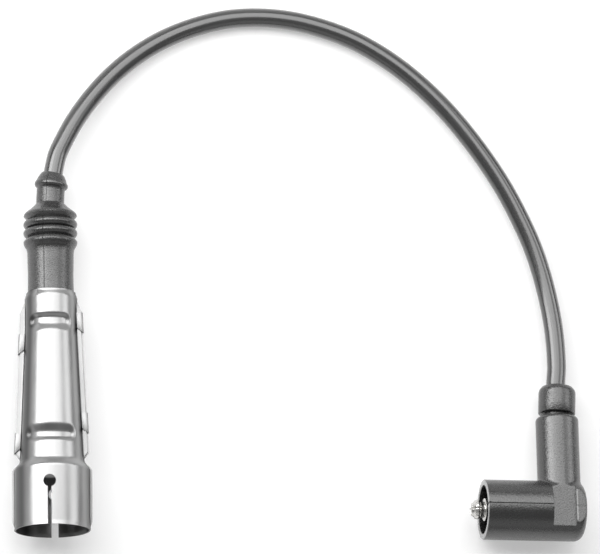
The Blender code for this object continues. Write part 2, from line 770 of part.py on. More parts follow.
def plug_boot(frame, material):
    """Rubber boot: sleeve under the shield's lip, bellows, neck and a domed end that the cable bends."""
    groove_r = LIP_R - SHEET - GAP
    dome = []
    for step in range(6):
        share = step / 5
        dome.append((CABLE_FIT_R + GAP + (DOME_R - CABLE_FIT_R - GAP) * math.sin(math.pi / 2 * share),
                     BOOT_TOP_S - DOME_LEN * 0.62 * (1 - math.cos(math.pi / 2 * share))))
    profile = dome + [
        (DOME_R, DOME_S + DOME_LEN * 0.2),
        (DOME_R - DOME_RISE / 2, DOME_S + DOME_LEN * 0.08),
        (BOOT_NECK_R, DOME_S),
        (BOOT_NECK_R, (DOME_S + BOOT_NECK_S) / 2),
        (BOOT_NECK_R, BOOT_NECK_S),
        (BOOT_NECK_R + (CREASE_R - BOOT_NECK_R) * 0.45, BOOT_NECK_S - SHOULDER_RISE * 0.55),
    ]
    profile += bellows()
    profile += [
        (SLEEVE_R, BELLOWS_S - SKIRT_LEN - GAP),
        (SLEEVE_R, SHIELD_S + 2 * GAP),
        (groove_r, SHIELD_S + GAP),
        (groove_r, LIP_S + LIP_LEN / 2),
        (SLEEVE_R, LIP_S),
        (SLEEVE_R, NECK_S + GAP),
        (SLEEVE_FIT_R, NECK_S + GAP),
        (SLEEVE_FIT_R, BELLOWS_TOP_S),
        (CABLE_FIT_R, BOOT_NECK_S),
        (CABLE_FIT_R, (DOME_S + BOOT_NECK_S) / 2),
        (CABLE_FIT_R, DOME_S),
        (CABLE_FIT_R, DOME_S + DOME_LEN / 2),
        (CABLE_FIT_R, BOOT_TOP_S),
    ]
    straight = turned("boot_straight", profile, True)
    bpy.context.view_layer.update()
    graph = bpy.context.evaluated_depsgraph_get()
    mesh = bpy.data.meshes.new_from_object(straight.evaluated_get(graph))
    bpy.data.objects.remove(straight, do_unlink=True)
    for vertex in mesh.vertices:
        vertex.co = bend_point(vertex.co)
    mesh.name = "plug_boot"
    boot = add_object("plug_boot", mesh, material)
    shade_round(boot)
    place(boot, frame)


def smooth_through(points, samples=12):
    """Points of a smooth curve through the route, close together."""
    ends = [2 * points[0] - points[1]] + points + [2 * points[-1] - points[-2]]
    curve = []
    for before, start, end, after in zip(ends, ends[1:], ends[2:], ends[3:]):
        span = (end - start).length
        leave = (end - before) * span / ((start - before).length + span)
        arrive = (after - start) * span / ((after - end).length + span)
        for step in range(samples):
            t = step / samples
            curve.append(start * (2 * t**3 - 3 * t**2 + 1) + leave * (t**3 - 2 * t**2 + t)
                         + end * (3 * t**2 - 2 * t**3) + arrive * (t**3 - t**2))
    return curve + [points[-1]]


def evenly(curve, step):
    """Pick points of a curve about one step apart, its two ends among them."""
    lengths = np.concatenate([[0.0], np.cumsum([(b - a).length for a, b in zip(curve, curve[1:])])])
    count = max(round(lengths[-1] / step), 1)
    wanted = np.linspace(0.0, lengths[-1], count + 1)
    columns = [np.interp(wanted, lengths, [point[axis] for point in curve]) for axis in range(3)]
    return [Vector(point) for point in zip(*columns)]


def ignition_cable(material):
    """The cable, from one ferrule through the boot, over the floor and through the grommet."""
    end_s = PLUG_FERRULE_S + FERRULE_FLOOR + GAP
    end_d = ELBOW_FERRULE_D + FERRULE_FLOOR + GAP
    inside_boot = [PLUG_PLACE @ bend_point((0, 0, s)) for s in (
        end_s, (end_s + BOOT_NECK_S) / 2, BOOT_NECK_S, (BOOT_NECK_S + BOOT_TOP_S) / 2, BOOT_TOP_S)]
    inside_elbow = [ELBOW_PLACE @ Vector((0, d, 0)) for d in (GROMMET_TOP_D, end_d)]
    route = inside_boot + [Vector(point) * MM for point in ROUTE] + inside_elbow
    smooth = smooth_through(route)
    first = min(range(len(smooth)), key=lambda i: (smooth[i] - inside_boot[-1]).length)
    last = min(range(len(smooth)), key=lambda i: (smooth[i] - inside_elbow[0]).length)
    points = inside_boot[:-1] + evenly(smooth[first:last + 1], CABLE_STEP) + inside_elbow[1:]
    curve = bpy.data.curves.new("ignition_cable", "CURVE")
    curve.dimensions = "3D"
    curve.bevel_depth = CABLE_R
    curve.bevel_resolution = CABLE_SIDES_RESOLUTION
    curve.use_fill_caps = True
    line = curve.splines.new("POLY")
    line.points.add(len(points) - 1)
    for target, point in zip(line.points, points):
        target.co = (*point, 1)
    add_object("ignition_cable", curve, material)


def elbow_housing(frame, material):
    """Moulded elbow: barrel with the socket, and the tube that takes the cable."""
    barrel = [(0, MOUTH_LEN), (BARREL_R - MOUTH_CHAMFER, MOUTH_LEN), (BARREL_R, MOUTH_LEN - MOUTH_CHAMFER)]
    barrel += fillet(BARREL_R, -REAR_LEN, REAR_FILLET, False)
    barrel += [(0, -REAR_LEN)]
    housing = place(turned("elbow_housing", barrel, False, material, steps=40), frame, ALONG_BARREL)
    tube = [(0, TUBE_LEN)] + fillet(TUBE_R, TUBE_LEN, TUBE_FILLET, True) + [(TUBE_R, 0), (0, 0)]
    combine(housing, place(turned("elbow_tube", tube, False, collection=CUTTERS), frame, ALONG_TUBE), "UNION")
    wide = BARREL_R + SHEET
    for side in (-1, 1):
        for low_x, high_x, depth in ((-FLAT_LENS[0], FLAT_LENS[1], DEEP_FLAT),
                                     (0, REAR_LEN + SHEET, SHALLOW_FLAT)):
            low_z, high_z = sorted((side * depth, side * wide))
            cut = block("elbow_flat", (low_x, -wide, low_z), (high_x, wide, high_z))
            combine(housing, place(cut, frame), "DIFFERENCE")
    socket_floor = MOUTH_LEN - SOCKET_DEPTH
    bore = [
        (0, MOUTH_LEN + SHEET),
        (SOCKET_R, MOUTH_LEN + SHEET),
        (SOCKET_R, socket_floor),
        (PIN_SHANK_R + GAP, socket_floor),
        (PIN_SHANK_R + GAP, -PIN_SHANK_END - GAP),
        (0, -PIN_SHANK_END - GAP),
    ]
    combine(housing, place(turned("elbow_bore", bore, False, collection=CUTTERS), frame, ALONG_BARREL),
            "DIFFERENCE")
    step = ELBOW_FERRULE_D - GAP
    chamber = [
        (0, TUBE_LEN + SHEET),
        (FERRULE_BORE_R, TUBE_LEN + SHEET),
        (FERRULE_BORE_R, step),
        (CHAMBER_R, step),
        (CHAMBER_R, PIN_SHANK_R / 2),
        (0, PIN_SHANK_R / 2),
    ]
    combine(housing, place(turned("elbow_chamber", chamber, False, collection=CUTTERS), frame, ALONG_TUBE),
            "DIFFERENCE")


def elbow_terminal(frame, material):
    """Split pin that snaps into the coil or distributor tower."""
    tip = MOUTH_LEN + PIN_PROUD
    face = MOUTH_LEN - PIN_DISC_BACK
    floor = MOUTH_LEN - SOCKET_DEPTH + GAP
    bead = (tip + face) / 2
    profile = [
        (0, tip),
        (PIN_TIP_R, tip),
        ((PIN_TIP_R + PIN_BEAD_R) / 2, tip - (tip - bead) / 4),
        (PIN_BEAD_R, bead + (tip - bead) / 4),
        (PIN_BEAD_R, bead),
        (PIN_NECK_R, bead - (bead - face) / 3),
        (PIN_NECK_R, face),
        (PIN_DISC_R, face),
        (PIN_DISC_R, face - PIN_DISC_LEN),
        (PIN_SHAFT_R, face - PIN_DISC_LEN),
        (PIN_SHAFT_R, floor),
        (PIN_SHANK_R, floor),
        (PIN_SHANK_R, -PIN_SHANK_END),
        (0, -PIN_SHANK_END),
    ]
    pin = place(turned("elbow_terminal", profile, False, material, steps=24), frame, ALONG_BARREL)
    wide = PIN_BEAD_R + GAP
    for number, (y, z) in enumerate(((wide, PIN_SLOT / 2), (PIN_SLOT / 2, wide))):
        slot = block(f"pin_slot_{number}", (-tip - GAP, -y, -z), (-face - GAP, y, z))
        combine(pin, place(slot, frame), "DIFFERENCE")


def elbow_grommet(frame, material):
    """Rubber collar on the cable with a spigot in the elbow's tube."""
    profile = [
        (GROMMET_R - GROMMET_CHAMFER, GROMMET_TOP_D),
        (GROMMET_R - GROMMET_CHAMFER / 4, GROMMET_TOP_D - GROMMET_CHAMFER * 0.7),
        (GROMMET_R, GROMMET_TOP_D - GROMMET_CHAMFER * 1.2),
        (GROMMET_R, GROMMET_D + GAP),
        (GROMMET_R - GAP, GROMMET_D),
        (SPIGOT_R, GROMMET_D),
        (SPIGOT_R, TUBE_LEN - SPIGOT_LEN),
        (CABLE_FIT_R, TUBE_LEN - SPIGOT_LEN),
        (CABLE_FIT_R, GROMMET_TOP_D),
    ]
    place(turned("elbow_grommet", profile, True, material), frame, ALONG_TUBE)


def build():
    """Make every piece."""
    steel, wire, plating = steel_sheet(), spring_steel(), plated_steel()
    metal, rubber, plastic, stone = brass(), black_rubber(), moulded_plastic(), ceramic()
    plug = add_frame("plug_frame", PLUG_PLACE)
    shield = add_frame("shield_frame", Matrix.Rotation(SHIELD_ROLL, 4, "Z"), plug)
    elbow = add_frame("elbow_frame", ELBOW_PLACE)

    plug_shield_front(shield, steel)
    plug_shield_back(shield, steel)
    plug_insulator(plug, plastic)
    plug_seal(plug, rubber)
    plug_contact_clip(plug, metal)
    plug_clip_ring(plug, wire)
    resistor_stack("plug", plug, ALONG_PLUG, PLUG_STACK_S, ROD_LEN, stone, metal)
    contact_spring("plug", plug, ALONG_PLUG, PLUG_FERRULE_S - GAP - SPRING_LEN, wire)
    cable_ferrule("plug", plug, ALONG_PLUG, PLUG_FERRULE_S, metal)
    plug_boot(plug, rubber)

    ignition_cable(cable_jacket())

    elbow_housing(elbow, plastic)
    elbow_terminal(elbow, plating)
    resistor_stack("elbow", elbow, ALONG_TUBE, ELBOW_STACK_D, ELBOW_ROD_LEN, stone, metal)
    contact_spring("elbow", elbow, ALONG_TUBE, ELBOW_FERRULE_D - GAP - SPRING_LEN, wire)
    cable_ferrule("elbow", elbow, ALONG_TUBE, ELBOW_FERRULE_D, metal)
    elbow_grommet(elbow, rubber)


build()
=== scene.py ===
"""Spark plug wire: the visible pieces of a short ignition lead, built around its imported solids.

The lead lies on the floor, +Z up, in metres. Sizes below are in millimetres and are turned to metres
where a piece takes its place. Heights are along the spark plug connector, from its open mouth.
"""

import math
from itertools import product

import bmesh
import bpy
import numpy as np
from bpy.props import FloatProperty, FloatVectorProperty, IntProperty, PointerProperty
from mathutils import Euler, Matrix, Vector


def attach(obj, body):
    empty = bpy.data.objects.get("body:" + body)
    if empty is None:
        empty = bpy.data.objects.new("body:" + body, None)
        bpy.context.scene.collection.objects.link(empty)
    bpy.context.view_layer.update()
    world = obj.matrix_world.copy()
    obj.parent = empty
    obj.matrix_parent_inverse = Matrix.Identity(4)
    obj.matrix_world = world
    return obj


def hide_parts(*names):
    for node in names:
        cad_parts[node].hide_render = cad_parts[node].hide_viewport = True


bl_info = {
    "name": "Spark plug wire",
    "version": (1, 0, 0),
    "blender": (4, 5, 0),
    "location": "View3D > Sidebar > Ignition lead",
    "description": "Builds the visible pieces of a spark plug wire around its packed solids",
    "category": "Object",
}

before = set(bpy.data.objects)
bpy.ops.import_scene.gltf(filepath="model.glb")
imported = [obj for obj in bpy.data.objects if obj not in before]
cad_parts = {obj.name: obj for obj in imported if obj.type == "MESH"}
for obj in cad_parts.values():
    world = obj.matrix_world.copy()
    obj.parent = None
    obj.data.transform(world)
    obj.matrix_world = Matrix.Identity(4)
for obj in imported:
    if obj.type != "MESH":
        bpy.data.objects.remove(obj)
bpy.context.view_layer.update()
BODY = "root"
MM = 0.001

# General
GAP = 0.3
CABLE_FIT_R = 3.8
FERRULE_BORE_R = 4.7

# Spark plug connector
CUP_LEN = 21.5
CUP_R = 13.4
CUP_FLARE = 0.12
CUP_FLARE_LEN = 1.5
CONE_S = 25.2
CONE_LOW_R = 11.25
COLLAR_S = 74.2
COLLAR_R = 9.1
LIP_S = 84.4
LIP_R = 8.5
SHIELD_S = 87.0
FLANGE = 2.2
FRONT_INSET = 0.55
CUP_FLANGE = 0.95
CUP_FLANGE_LEAST = 0.1
CUP_FLANGE_START = 1.0
CUP_FLANGE_RAMP = 2.2
END_FLANGE = 0.4
FLANGE_FOOT_S = (25.8, 28.2)
FLANGE_HEAD_S = (79.4, 83.6)
BEND_R = 0.6
BEAD_S = (34.2, 74.7)
BEAD_HALF = 3.5
# How wide the beads' slopes are, above and below the floor of each
BEAD_SLOPES = ((3.9, 1.9), (1.9, 3.5))
BEAD_DEPTH = 1.0
BEAD_HALF_ANGLE = math.radians(58)
# Rows of the shield's mesh: from, to and how far apart, and the least distance between two
ROW_SPANS = ((0.0, SHIELD_S, 1.5), (0.0, 1.9, 0.3), (20.5, 28.5, 0.3), (LIP_S - 1.2, SHIELD_S, 0.22),
             *[(middle - 4.0, middle + 4.0, 0.3) for middle in BEAD_S])
ROW_LEAST = 0.15
KEYHOLE_R = 2.25
KEYHOLE_S = 15.7
BACK_SLIT = 2.5
# Front slit: half width of its straight left side, and heights and half widths down its torn right side
SLIT_LEFT = 0.72
TORN_SLIT = ((15.7, 0.7), (12.4, 0.62), (11.6, 0.95), (10.6, 0.4), (9.6, 0.35), (8.2, 0.75), (5.0, 0.85),
             (2.4, 0.75), (-1.0, 0.8))
# Where the painted shade on the drawn flanks starts and over how much it grows, in degrees from the front's
# middle; it stands in for a dark reflection
PAINTED_FLANK_LEFT = (30, 22)
PAINTED_FLANK_RIGHT = (58, 22)
PAINTED_FLANK_SHADE = 0.26
TAB_LEN = 6.8
# Where the tabs fold, beside the flange's edge, and how far they reach under it and over it
TAB_FOLD_X = -0.65
TAB_TAIL = 0.6
TAB_REACH = 1.35
TAB_SLANT = 1.2
TAB_LEFT_S = (28.7, 65.0)
TAB_RIGHT_S = (35.8, 72.6)
SLEEVE_R = 8.3
BELLOWS_S = 104.1
LOBES = 4
LOBE_PITCH = 3.2
BOOT_NECK_S = 119.5
BOOT_TOP_S = 130.9
BOOT_BEND = math.radians(11)
# The two parting lines of the boot's mould: where they lie, their half width and depth, and the mesh's
# columns at each, in half widths
SEAMS = (math.radians(-25), math.radians(155))
GROOVE = math.radians(1.0)
GROOVE_DEPTH = 0.16
GROOVE_STEPS = (-2, -1, -0.4, 0, 0.4, 1, 2)
GROOVE_CLEAR = 2.2
# How far inside the shield's outer face the insulating tube lies
TUBE_CLEAR = 0.8
NECK_S = 79.4
NECK_TOP_S = 101.7
NECK_R = 6.3
CLIP_SEAT_S = 57.7
CLIP_TOP_S = 70.7
PLUG_FERRULE_S = 90.7
FERRULE_FLOOR = 1.0

# Elbow connector
BARREL_R = 10.9
SOCKET_R = 8.8
MOUTH_X = -28.4
SOCKET_X = -14.4
REAR_X = 8.4
REAR_FILLET = 3.4
TUBE_R = 7.8
TUBE_LEN = 35.0
TUBE_FILLET = 1.5
JUNCTION_FILLET = 1.0
DEEP_FLAT = 7.9
SHALLOW_FLAT = 8.9
FLAT_X = (-4.3, 4.2)
RIB_X = 4.9
RIB_TOP = 9.3
# Parting line of the elbow's mould, with a notch where it meets the mouth
LINE_DEPTH = 0.22
LINE_HALF = 0.2
NOTCH_DEPTH = 0.35
NOTCH_HALF = 0.45
# Bores of the elbow: the pin's, the one of the resistor and its spring, and where the ferrule's starts
PIN_BORE_R = 2.8
PIN_BORE_X = 3.7
CHAMBER_R = 3.8
CHAMBER_D = (1.25, 19.6)
FERRULE_BORE_D = 19.5
ELBOW_FERRULE_D = 19.8
GROMMET_D = 36.0
GROMMET_TOP_D = 46.6
GROMMET_R = 6.75
GROMMET_TILT = math.radians(3.0)
# How much lighter than its nylon the painted highlight on the elbow's mouth rim is, and how much of that the
# rib shows
PAINTED_RIM_HIGHLIGHT = 23.0
PAINTED_RIB_HIGHLIGHT = 0.6

# Where the connectors lie, as in the solids
PLUG_MOUTH = (-89.6, -65.4)
PLUG_YAW = math.radians(0.5)
SHIELD_ROLL = math.radians(-12)
ELBOW_CORNER = (96.2, -52.7)
ELBOW_YAW = math.radians(0.4)
LOBE_R = 9.7
REST_LOBE_S = 115.3
PLUG_INCLINE = math.asin((CUP_R - LOBE_R) / (REST_LOBE_S - CUP_LEN))
PLUG_MOUTH_Z = CUP_R * math.cos(PLUG_INCLINE) + CUP_LEN * math.sin(PLUG_INCLINE)
ELBOW_ROLL = math.asin((BARREL_R - TUBE_R) / (TUBE_LEN - 1.2))

# Route of the cable between the boot and the grommet, as in the solids
ROUTE = [
    (-88.2, 72.3, 8.8), (-86.3, 76.9, 8.5), (-81.5, 86.0, 7.65), (-75.1, 95.3, 6.5),
    (-67.3, 104.2, 5.3), (-58.6, 111.8, 4.4), (-48.4, 118.4, 3.75), (-36.9, 123.5, 3.6),
    (-24.8, 126.8, 3.6), (-12.6, 127.9, 3.6), (-0.5, 127.1, 3.6), (10.9, 124.6, 3.6),
    (21.8, 120.8, 3.6), (31.8, 115.6, 3.6), (41.0, 109.4, 3.6), (49.4, 102.4, 3.6),
    (57.1, 94.8, 3.6), (64.3, 86.4, 3.6), (71.1, 77.4, 3.6), (77.4, 67.8, 3.6),
    (83.3, 56.9, 3.6), (88.6, 44.9, 3.7), (92.7, 31.3, 4.1), (95.5, 16.3, 4.95),
    (96.4, 2.0, 6.0),
]


# Colours and materials

# What most values of a noise lie between
BLOTS = (0.3, 0.7)


def linear(code):
    """Linear RGBA of an sRGB hex colour."""
    values = [int(code[i:i + 2], 16) / 255 for i in (1, 3, 5)]
    return (*[v / 12.92 if v <= 0.04045 else ((v + 0.055) / 1.055) ** 2.4 for v in values], 1.0)


def shade_of(colour, factor=1.0):
    """A colour, or a darker or lighter shade of it."""
    return (*[min(part * factor, 1.0) for part in list(colour)[:3]], 1.0)


def add_node(tree, kind, inputs=None, **settings):
    """Add a node with its settings; an input takes a value, an output, or a node's first output."""
    made = tree.nodes.new(kind)
    for name, value in settings.items():
        setattr(made, name, value)
    for key, value in (inputs or {}).items():
        if isinstance(value, bpy.types.Node):
            value = value.outputs[0]
        if isinstance(value, bpy.types.NodeSocket):
            tree.links.new(value, made.inputs[key])
        else:
            made.inputs[key].default_value = value
    return made


def new_material(name, roughness, metallic=0.0, **sockets):
    """A material with its shader's uniform values set; returns it, its tree and its shader."""
    material = bpy.data.materials.new(name)
    material.use_nodes = True
    tree = material.node_tree
    shader = tree.nodes["Principled BSDF"]
    shader.inputs["Roughness"].default_value = roughness
    shader.inputs["Metallic"].default_value = metallic
    for key, value in sockets.items():
        shader.inputs[key.replace("_", " ")].default_value = value
    return material, tree, shader


def pattern(tree, size, detail=2.0, roughness=0.5, stretch=(1.0, 1.0, 1.0), attribute=None):
    """Irregular blots about size millimetres across, pulled out by stretch.

    They lie on the piece itself, or on an attribute in metres that follows its surface.
    """
    if attribute is None:
        place = add_node(tree, "ShaderNodeTexCoord").outputs["Object"]
    else:
        place = add_node(tree, "ShaderNodeAttribute", attribute_name=attribute).outputs["Vector"]
    scale = [1 / (MM * pull) for pull in stretch]
    place = add_node(tree, "ShaderNodeMapping", {"Vector": place, "Scale": scale})
    return add_node(tree, "ShaderNodeTexNoise",
                    {"Vector": place, "Scale": 1 / size, "Detail": detail, "Roughness": roughness})


def mottled(tree, value, dark, light, most=1.0, start=BLOTS[0], end=BLOTS[1]):
    """A colour that goes from dark to light, or as far as most, while a value goes from start to end."""
    share = add_node(tree, "ShaderNodeMapRange",
                     {"Value": value, "From Min": start, "From Max": end, "To Max": most})
    return add_node(tree, "ShaderNodeMixRGB", {"Fac": share, "Color1": dark, "Color2": light})


def finish(tree, shader, shade, *bumps, dull=()):
    """Link a shader's colour, bumps and roughness.

    Each bump is a height from 0 to 1 with the millimetres that it stands for. The roughness is a sum of
    values, each spread from a low to a high one, over the blots' usual range or one that is given.
    """
    links = {"Base Color": shade}
    for value, low, high, *ends in dull:
        start, end = ends or BLOTS
        part = add_node(tree, "ShaderNodeMapRange",
                        {"Value": value, "From Min": start, "From Max": end, "To Min": low, "To Max": high})
        if "Roughness" in links:
            part = add_node(tree, "ShaderNodeMath", {0: links["Roughness"], 1: part}, operation="ADD")
        links["Roughness"] = part
    for height, distance in bumps:
        under = {"Normal": links["Normal"]} if "Normal" in links else {}
        links["Normal"] = add_node(tree, "ShaderNodeBump",
                                   {"Height": height, "Distance": distance * MM, "Strength": 1.0, **under})
    for key, node in links.items():
        tree.links.new(node.outputs[0], shader.inputs[key])


def drawn_steel_sheet(colours):
    """Bright low carbon steel strip, deep drawn in a press and oiled.

    Long faint draw lines run along the shield, a slight orange peel breaks up the edges of
    reflections, and dull patches show where it was handled. The flanges are matt where the press
    held them, and the flanks beside them are painted darker, a painted reflection of a dark surround.
    """
    material, tree, shader = new_material("drawn_steel_sheet", 0.3, 1.0)
    # Draw lines are 0.05 mm apart on the real sheet, and 0.3 mm here so that they show
    lines = pattern(tree, 0.3, 3.0, stretch=(1.0, 40.0, 1.0))
    peel = pattern(tree, 0.9)
    patches = pattern(tree, 7.0, 4.0, 0.6, (1.0, 2.5, 1.0))
    steel = mottled(tree, patches, shade_of(colours.steel, 0.9), shade_of(colours.steel, 1.05))
    wear = add_node(tree, "ShaderNodeAttribute", attribute_name="wear").outputs["Vector"]
    flange, flank_shade, _ = add_node(tree, "ShaderNodeSeparateXYZ", {"Vector": wear}).outputs
    steel = mottled(tree, flange, steel, shade_of(colours.flange), start=0.0, end=1.0)
    # Painted shade on the flanks beside the flanges: a painted reflection of a dark surround
    steel = mottled(tree, flank_shade, steel, shade_of(colours.steel, PAINTED_FLANK_SHADE), start=0.0, end=1.0)
    finish(tree, shader, steel, (peel, 0.008), (lines, 0.0035),
           dull=[(patches, 0.28, 0.36), (flange, 0.0, 0.12, 0.0, 1.0)])
    return material


def nickel_plated_brass(colours):
    """Turned brass with bright nickel plate: fine rings from the tool and a few dull specks."""
    material, tree, shader = new_material("nickel_plated_brass", 0.2, 1.0)
    rings = pattern(tree, 0.25, stretch=(1.0, 30.0, 30.0))
    specks = pattern(tree, 0.6, 3.0)
    nickel = mottled(tree, specks, shade_of(colours.nickel, 0.8), shade_of(colours.nickel))
    finish(tree, shader, nickel, (rings, 0.006), dull=[(specks, 0.16, 0.34)])
    return material


def turned_brass(colours):
    """Free cutting brass from the lathe: warm, with fine rings and a light tarnish."""
    material, tree, shader = new_material("turned_brass", 0.28, 1.0)
    tarnish = pattern(tree, 2.0, 4.0)
    rings = pattern(tree, 0.2, stretch=(30.0, 1.0, 30.0))
    brass = mottled(tree, tarnish, shade_of(colours.brass, 0.6), shade_of(colours.brass))
    finish(tree, shader, brass, (rings, 0.006), dull=[(tarnish, 0.4, 0.22)])
    return material


def drawn_spring_wire(colours):
    """Patented spring steel wire, drawn: grey and satin, with fine scratches."""
    material, tree, shader = new_material("drawn_spring_wire", 0.35, 1.0)
    scratches = pattern(tree, 0.3, 3.0)
    steel = mottled(tree, scratches, shade_of(colours.steel, 0.6), shade_of(colours.steel, 0.9))
    finish(tree, shader, steel, dull=[(scratches, 0.28, 0.45)])
    return material


def moulded_rubber(colours):
    """EPDM, compression moulded in an eroded tool: dark, satin, with a fine even grain.

    A pale bloom of wax lies on it in soft clouds.
    """
    material, tree, shader = new_material("moulded_epdm", 0.3, IOR=1.6, Specular_IOR_Level=0.72)
    bloom = pattern(tree, 6.0, 4.0, 0.6)
    # The tool's grain is 0.05 mm on the real boot, and 0.5 mm here so that it shows
    grain = pattern(tree, 0.5, 2.0, 0.6)
    dust = pattern(tree, 0.7, 4.0, 0.7)
    rubber = mottled(tree, bloom, shade_of(colours.rubber, 0.85), shade_of(colours.rubber, 1.15))
    rubber = mottled(tree, dust, rubber, shade_of(colours.rubber, 1.7), 0.35, 0.55, 0.75)
    finish(tree, shader, rubber, (grain, 0.1), dull=[(grain, -0.07, 0.07), (bloom, 0.22, 0.3)])
    return material


def extruded_silicone(colours):
    """Silicone rubber jacket, extruded: dark, glossy, with long faint die lines and pale dust."""
    material, tree, shader = new_material("extruded_silicone", 0.26, IOR=1.6, Coat_Weight=1.0,
                                          Coat_Roughness=0.12)
    lines = pattern(tree, 0.5, stretch=(1.0, 1.0, 60.0), attribute="jacket")
    dust = pattern(tree, 1.2, 5.0, 0.7, (1.0, 1.0, 3.0), "jacket")
    smears = pattern(tree, 9.0, 3.0, stretch=(1.0, 1.0, 3.0), attribute="jacket")
    jacket = mottled(tree, dust, shade_of(colours.jacket), shade_of(colours.jacket, 1.8), 0.4, 0.5, 0.8)
    finish(tree, shader, jacket, (lines, 0.012), dull=[(smears, 0.2, 0.34)])
    return material


def moulded_nylon(colours):
    """Glass filled nylon, injection moulded in an eroded tool: dark, satin, evenly grained.

    The grain makes the edge of a reflection look sandy, and flow marks cloud the surface a little.
    The mouth's rim and the rib carry a painted highlight: a pale line where their edges would catch the
    light.
    """
    material, tree, shader = new_material("moulded_nylon", 0.25, IOR=1.6, Specular_IOR_Level=0.8)
    flow = pattern(tree, 5.0, 3.0, stretch=(3.0, 3.0, 1.0))
    # Eroded grain of 0.05 mm on the real elbow, drawn at 0.5 mm so that it shows
    grain = pattern(tree, 0.5, 2.0, 0.6)
    fibres = pattern(tree, 0.55, 4.0, 0.7)
    nylon = mottled(tree, flow, shade_of(colours.nylon, 0.94), shade_of(colours.nylon, 1.06))
    nylon = mottled(tree, fibres, nylon, shade_of(colours.nylon, 1.9), 0.3, 0.55, 0.75)
    # Painted highlight on the mouth's rim and on the rib
    rim = add_node(tree, "ShaderNodeAttribute", attribute_name="rim").outputs["Fac"]
    nylon = mottled(tree, rim, nylon, shade_of(colours.nylon, PAINTED_RIM_HIGHLIGHT), start=0.0, end=1.0)
    finish(tree, shader, nylon, (grain, 0.08), dull=[(grain, -0.05, 0.05), (flow, 0.22, 0.28)])
    return material


def moulded_phenolic(colours):
    """Phenolic moulding of the insulating tube: nearly black, dull, with pale filler specks."""
    material, tree, shader = new_material("moulded_phenolic", 0.5, IOR=1.6)
    specks = pattern(tree, 0.4, 3.0)
    filler = shade_of(colours.phenolic, 2.2)
    phenolic = mottled(tree, specks, shade_of(colours.phenolic), filler, 1.0, 0.55, 0.75)
    finish(tree, shader, phenolic, (specks, 0.02), dull=[(specks, 0.42, 0.6)])
    return material


def fired_ceramic(colours):
    """Fired ceramic rod of the resistors: chalky, off-white, faintly porous."""
    material, tree, shader = new_material("fired_ceramic", 0.7, IOR=1.55)
    pores = pattern(tree, 0.3, 3.0)
    ceramic = mottled(tree, pores, shade_of(colours.ceramic, 0.85), shade_of(colours.ceramic))
    finish(tree, shader, ceramic, (pores, 0.02))
    return material


def seamless_paper(colours):
    """Studio background paper: matt, pale, with a barely visible tooth, a little lit from behind.

    Only the camera, reflections and glass see the light from behind, so it adds none to the object.
    """
    material, tree, shader = new_material("seamless_paper", 0.9, Specular_IOR_Level=0.1,
                                          Emission_Color=(1.0, 1.0, 1.0, 1.0))
    tooth = pattern(tree, 3.0)
    finish(tree, shader, mottled(tree, tooth, shade_of(colours.paper, 0.995), shade_of(colours.paper)))
    path = add_node(tree, "ShaderNodeLightPath").outputs
    seen = path["Is Camera Ray"]
    for ray in ("Is Glossy Ray", "Is Transmission Ray"):
        seen = add_node(tree, "ShaderNodeMath", {0: seen, 1: path[ray]}, operation="MAXIMUM")
    glow = add_node(tree, "ShaderNodeMath", {0: seen, 1: PAPER_GLOW}, operation="MULTIPLY")
    tree.links.new(glow.outputs[0], shader.inputs["Emission Strength"])
    return material


# Placing and finishing

def plug_place():
    """From millimetres in the spark plug connector's frame to the lead's frame."""
    move = Matrix.Translation(Vector((*PLUG_MOUTH, PLUG_MOUTH_Z)) * MM)
    turn = Euler((-math.pi / 2 - PLUG_INCLINE, 0, PLUG_YAW)).to_matrix().to_4x4()
    return move @ turn @ Matrix.Scale(MM, 4)


def shield_place():
    """The shield is turned about the connector's axis."""
    return plug_place() @ Matrix.Rotation(SHIELD_ROLL, 4, "Z")


def elbow_place():
    """From millimetres in the elbow's frame to the lead's frame."""
    move = Matrix.Translation(Vector((*ELBOW_CORNER, BARREL_R)) * MM)
    turn = Euler((-ELBOW_ROLL, 0, ELBOW_YAW)).to_matrix().to_4x4()
    return move @ turn @ Matrix.Scale(MM, 4)


def along_tube():
    """A turned piece whose height runs along the elbow's tube."""
    return elbow_place() @ Matrix.Rotation(-math.pi / 2, 4, "X")


def along_barrel():
    """A turned piece whose height runs out of the elbow's mouth."""
    return elbow_place() @ Matrix.Rotation(-math.pi / 2, 4, "Y")


def in_scene(name, data):
    """A new object in the scene with its data."""
    thing = bpy.data.objects.new(name, data)
    bpy.context.scene.collection.objects.link(thing)
    return thing


def modified(thing, kind, **settings):
    """Put a modifier with its settings on an object."""
    modifier = thing.modifiers.new(kind.lower(), kind)
    for name, value in settings.items():
        setattr(modifier, name, value)
    return thing


def mesh_object(name, points, faces, edges=()):
    """An object from points and faces."""
    mesh = bpy.data.meshes.new(name)
    mesh.from_pydata([tuple(point) for point in points], list(edges), [tuple(face) for face in faces])
    mesh.update()
    return in_scene(name, mesh)


def plain(source, name):
    """The object with its modifiers applied, as a plain mesh object; the source goes."""
    bpy.context.view_layer.update()
    graph = bpy.context.evaluated_depsgraph_get()
    mesh = bpy.data.meshes.new_from_object(source.evaluated_get(graph), preserve_all_data_layers=True,
                                           depsgraph=graph)
    bpy.data.objects.remove(source, do_unlink=True)
    mesh.name = name
    return in_scene(name, mesh)


def tidy_mesh(thing, reach=1e-5, thin=False):
    """Merge points that are closer than reach, drop thin faces if asked to, and turn the faces outwards."""
    shape = bmesh.new()
    shape.from_mesh(thing.data)
    bmesh.ops.remove_doubles(shape, verts=shape.verts, dist=reach)
    if thin:
        bmesh.ops.dissolve_degenerate(shape, edges=shape.edges, dist=1e-5)
    bmesh.ops.recalc_face_normals(shape, faces=shape.faces)
    shape.to_mesh(thing.data)
    shape.free()
    return thing


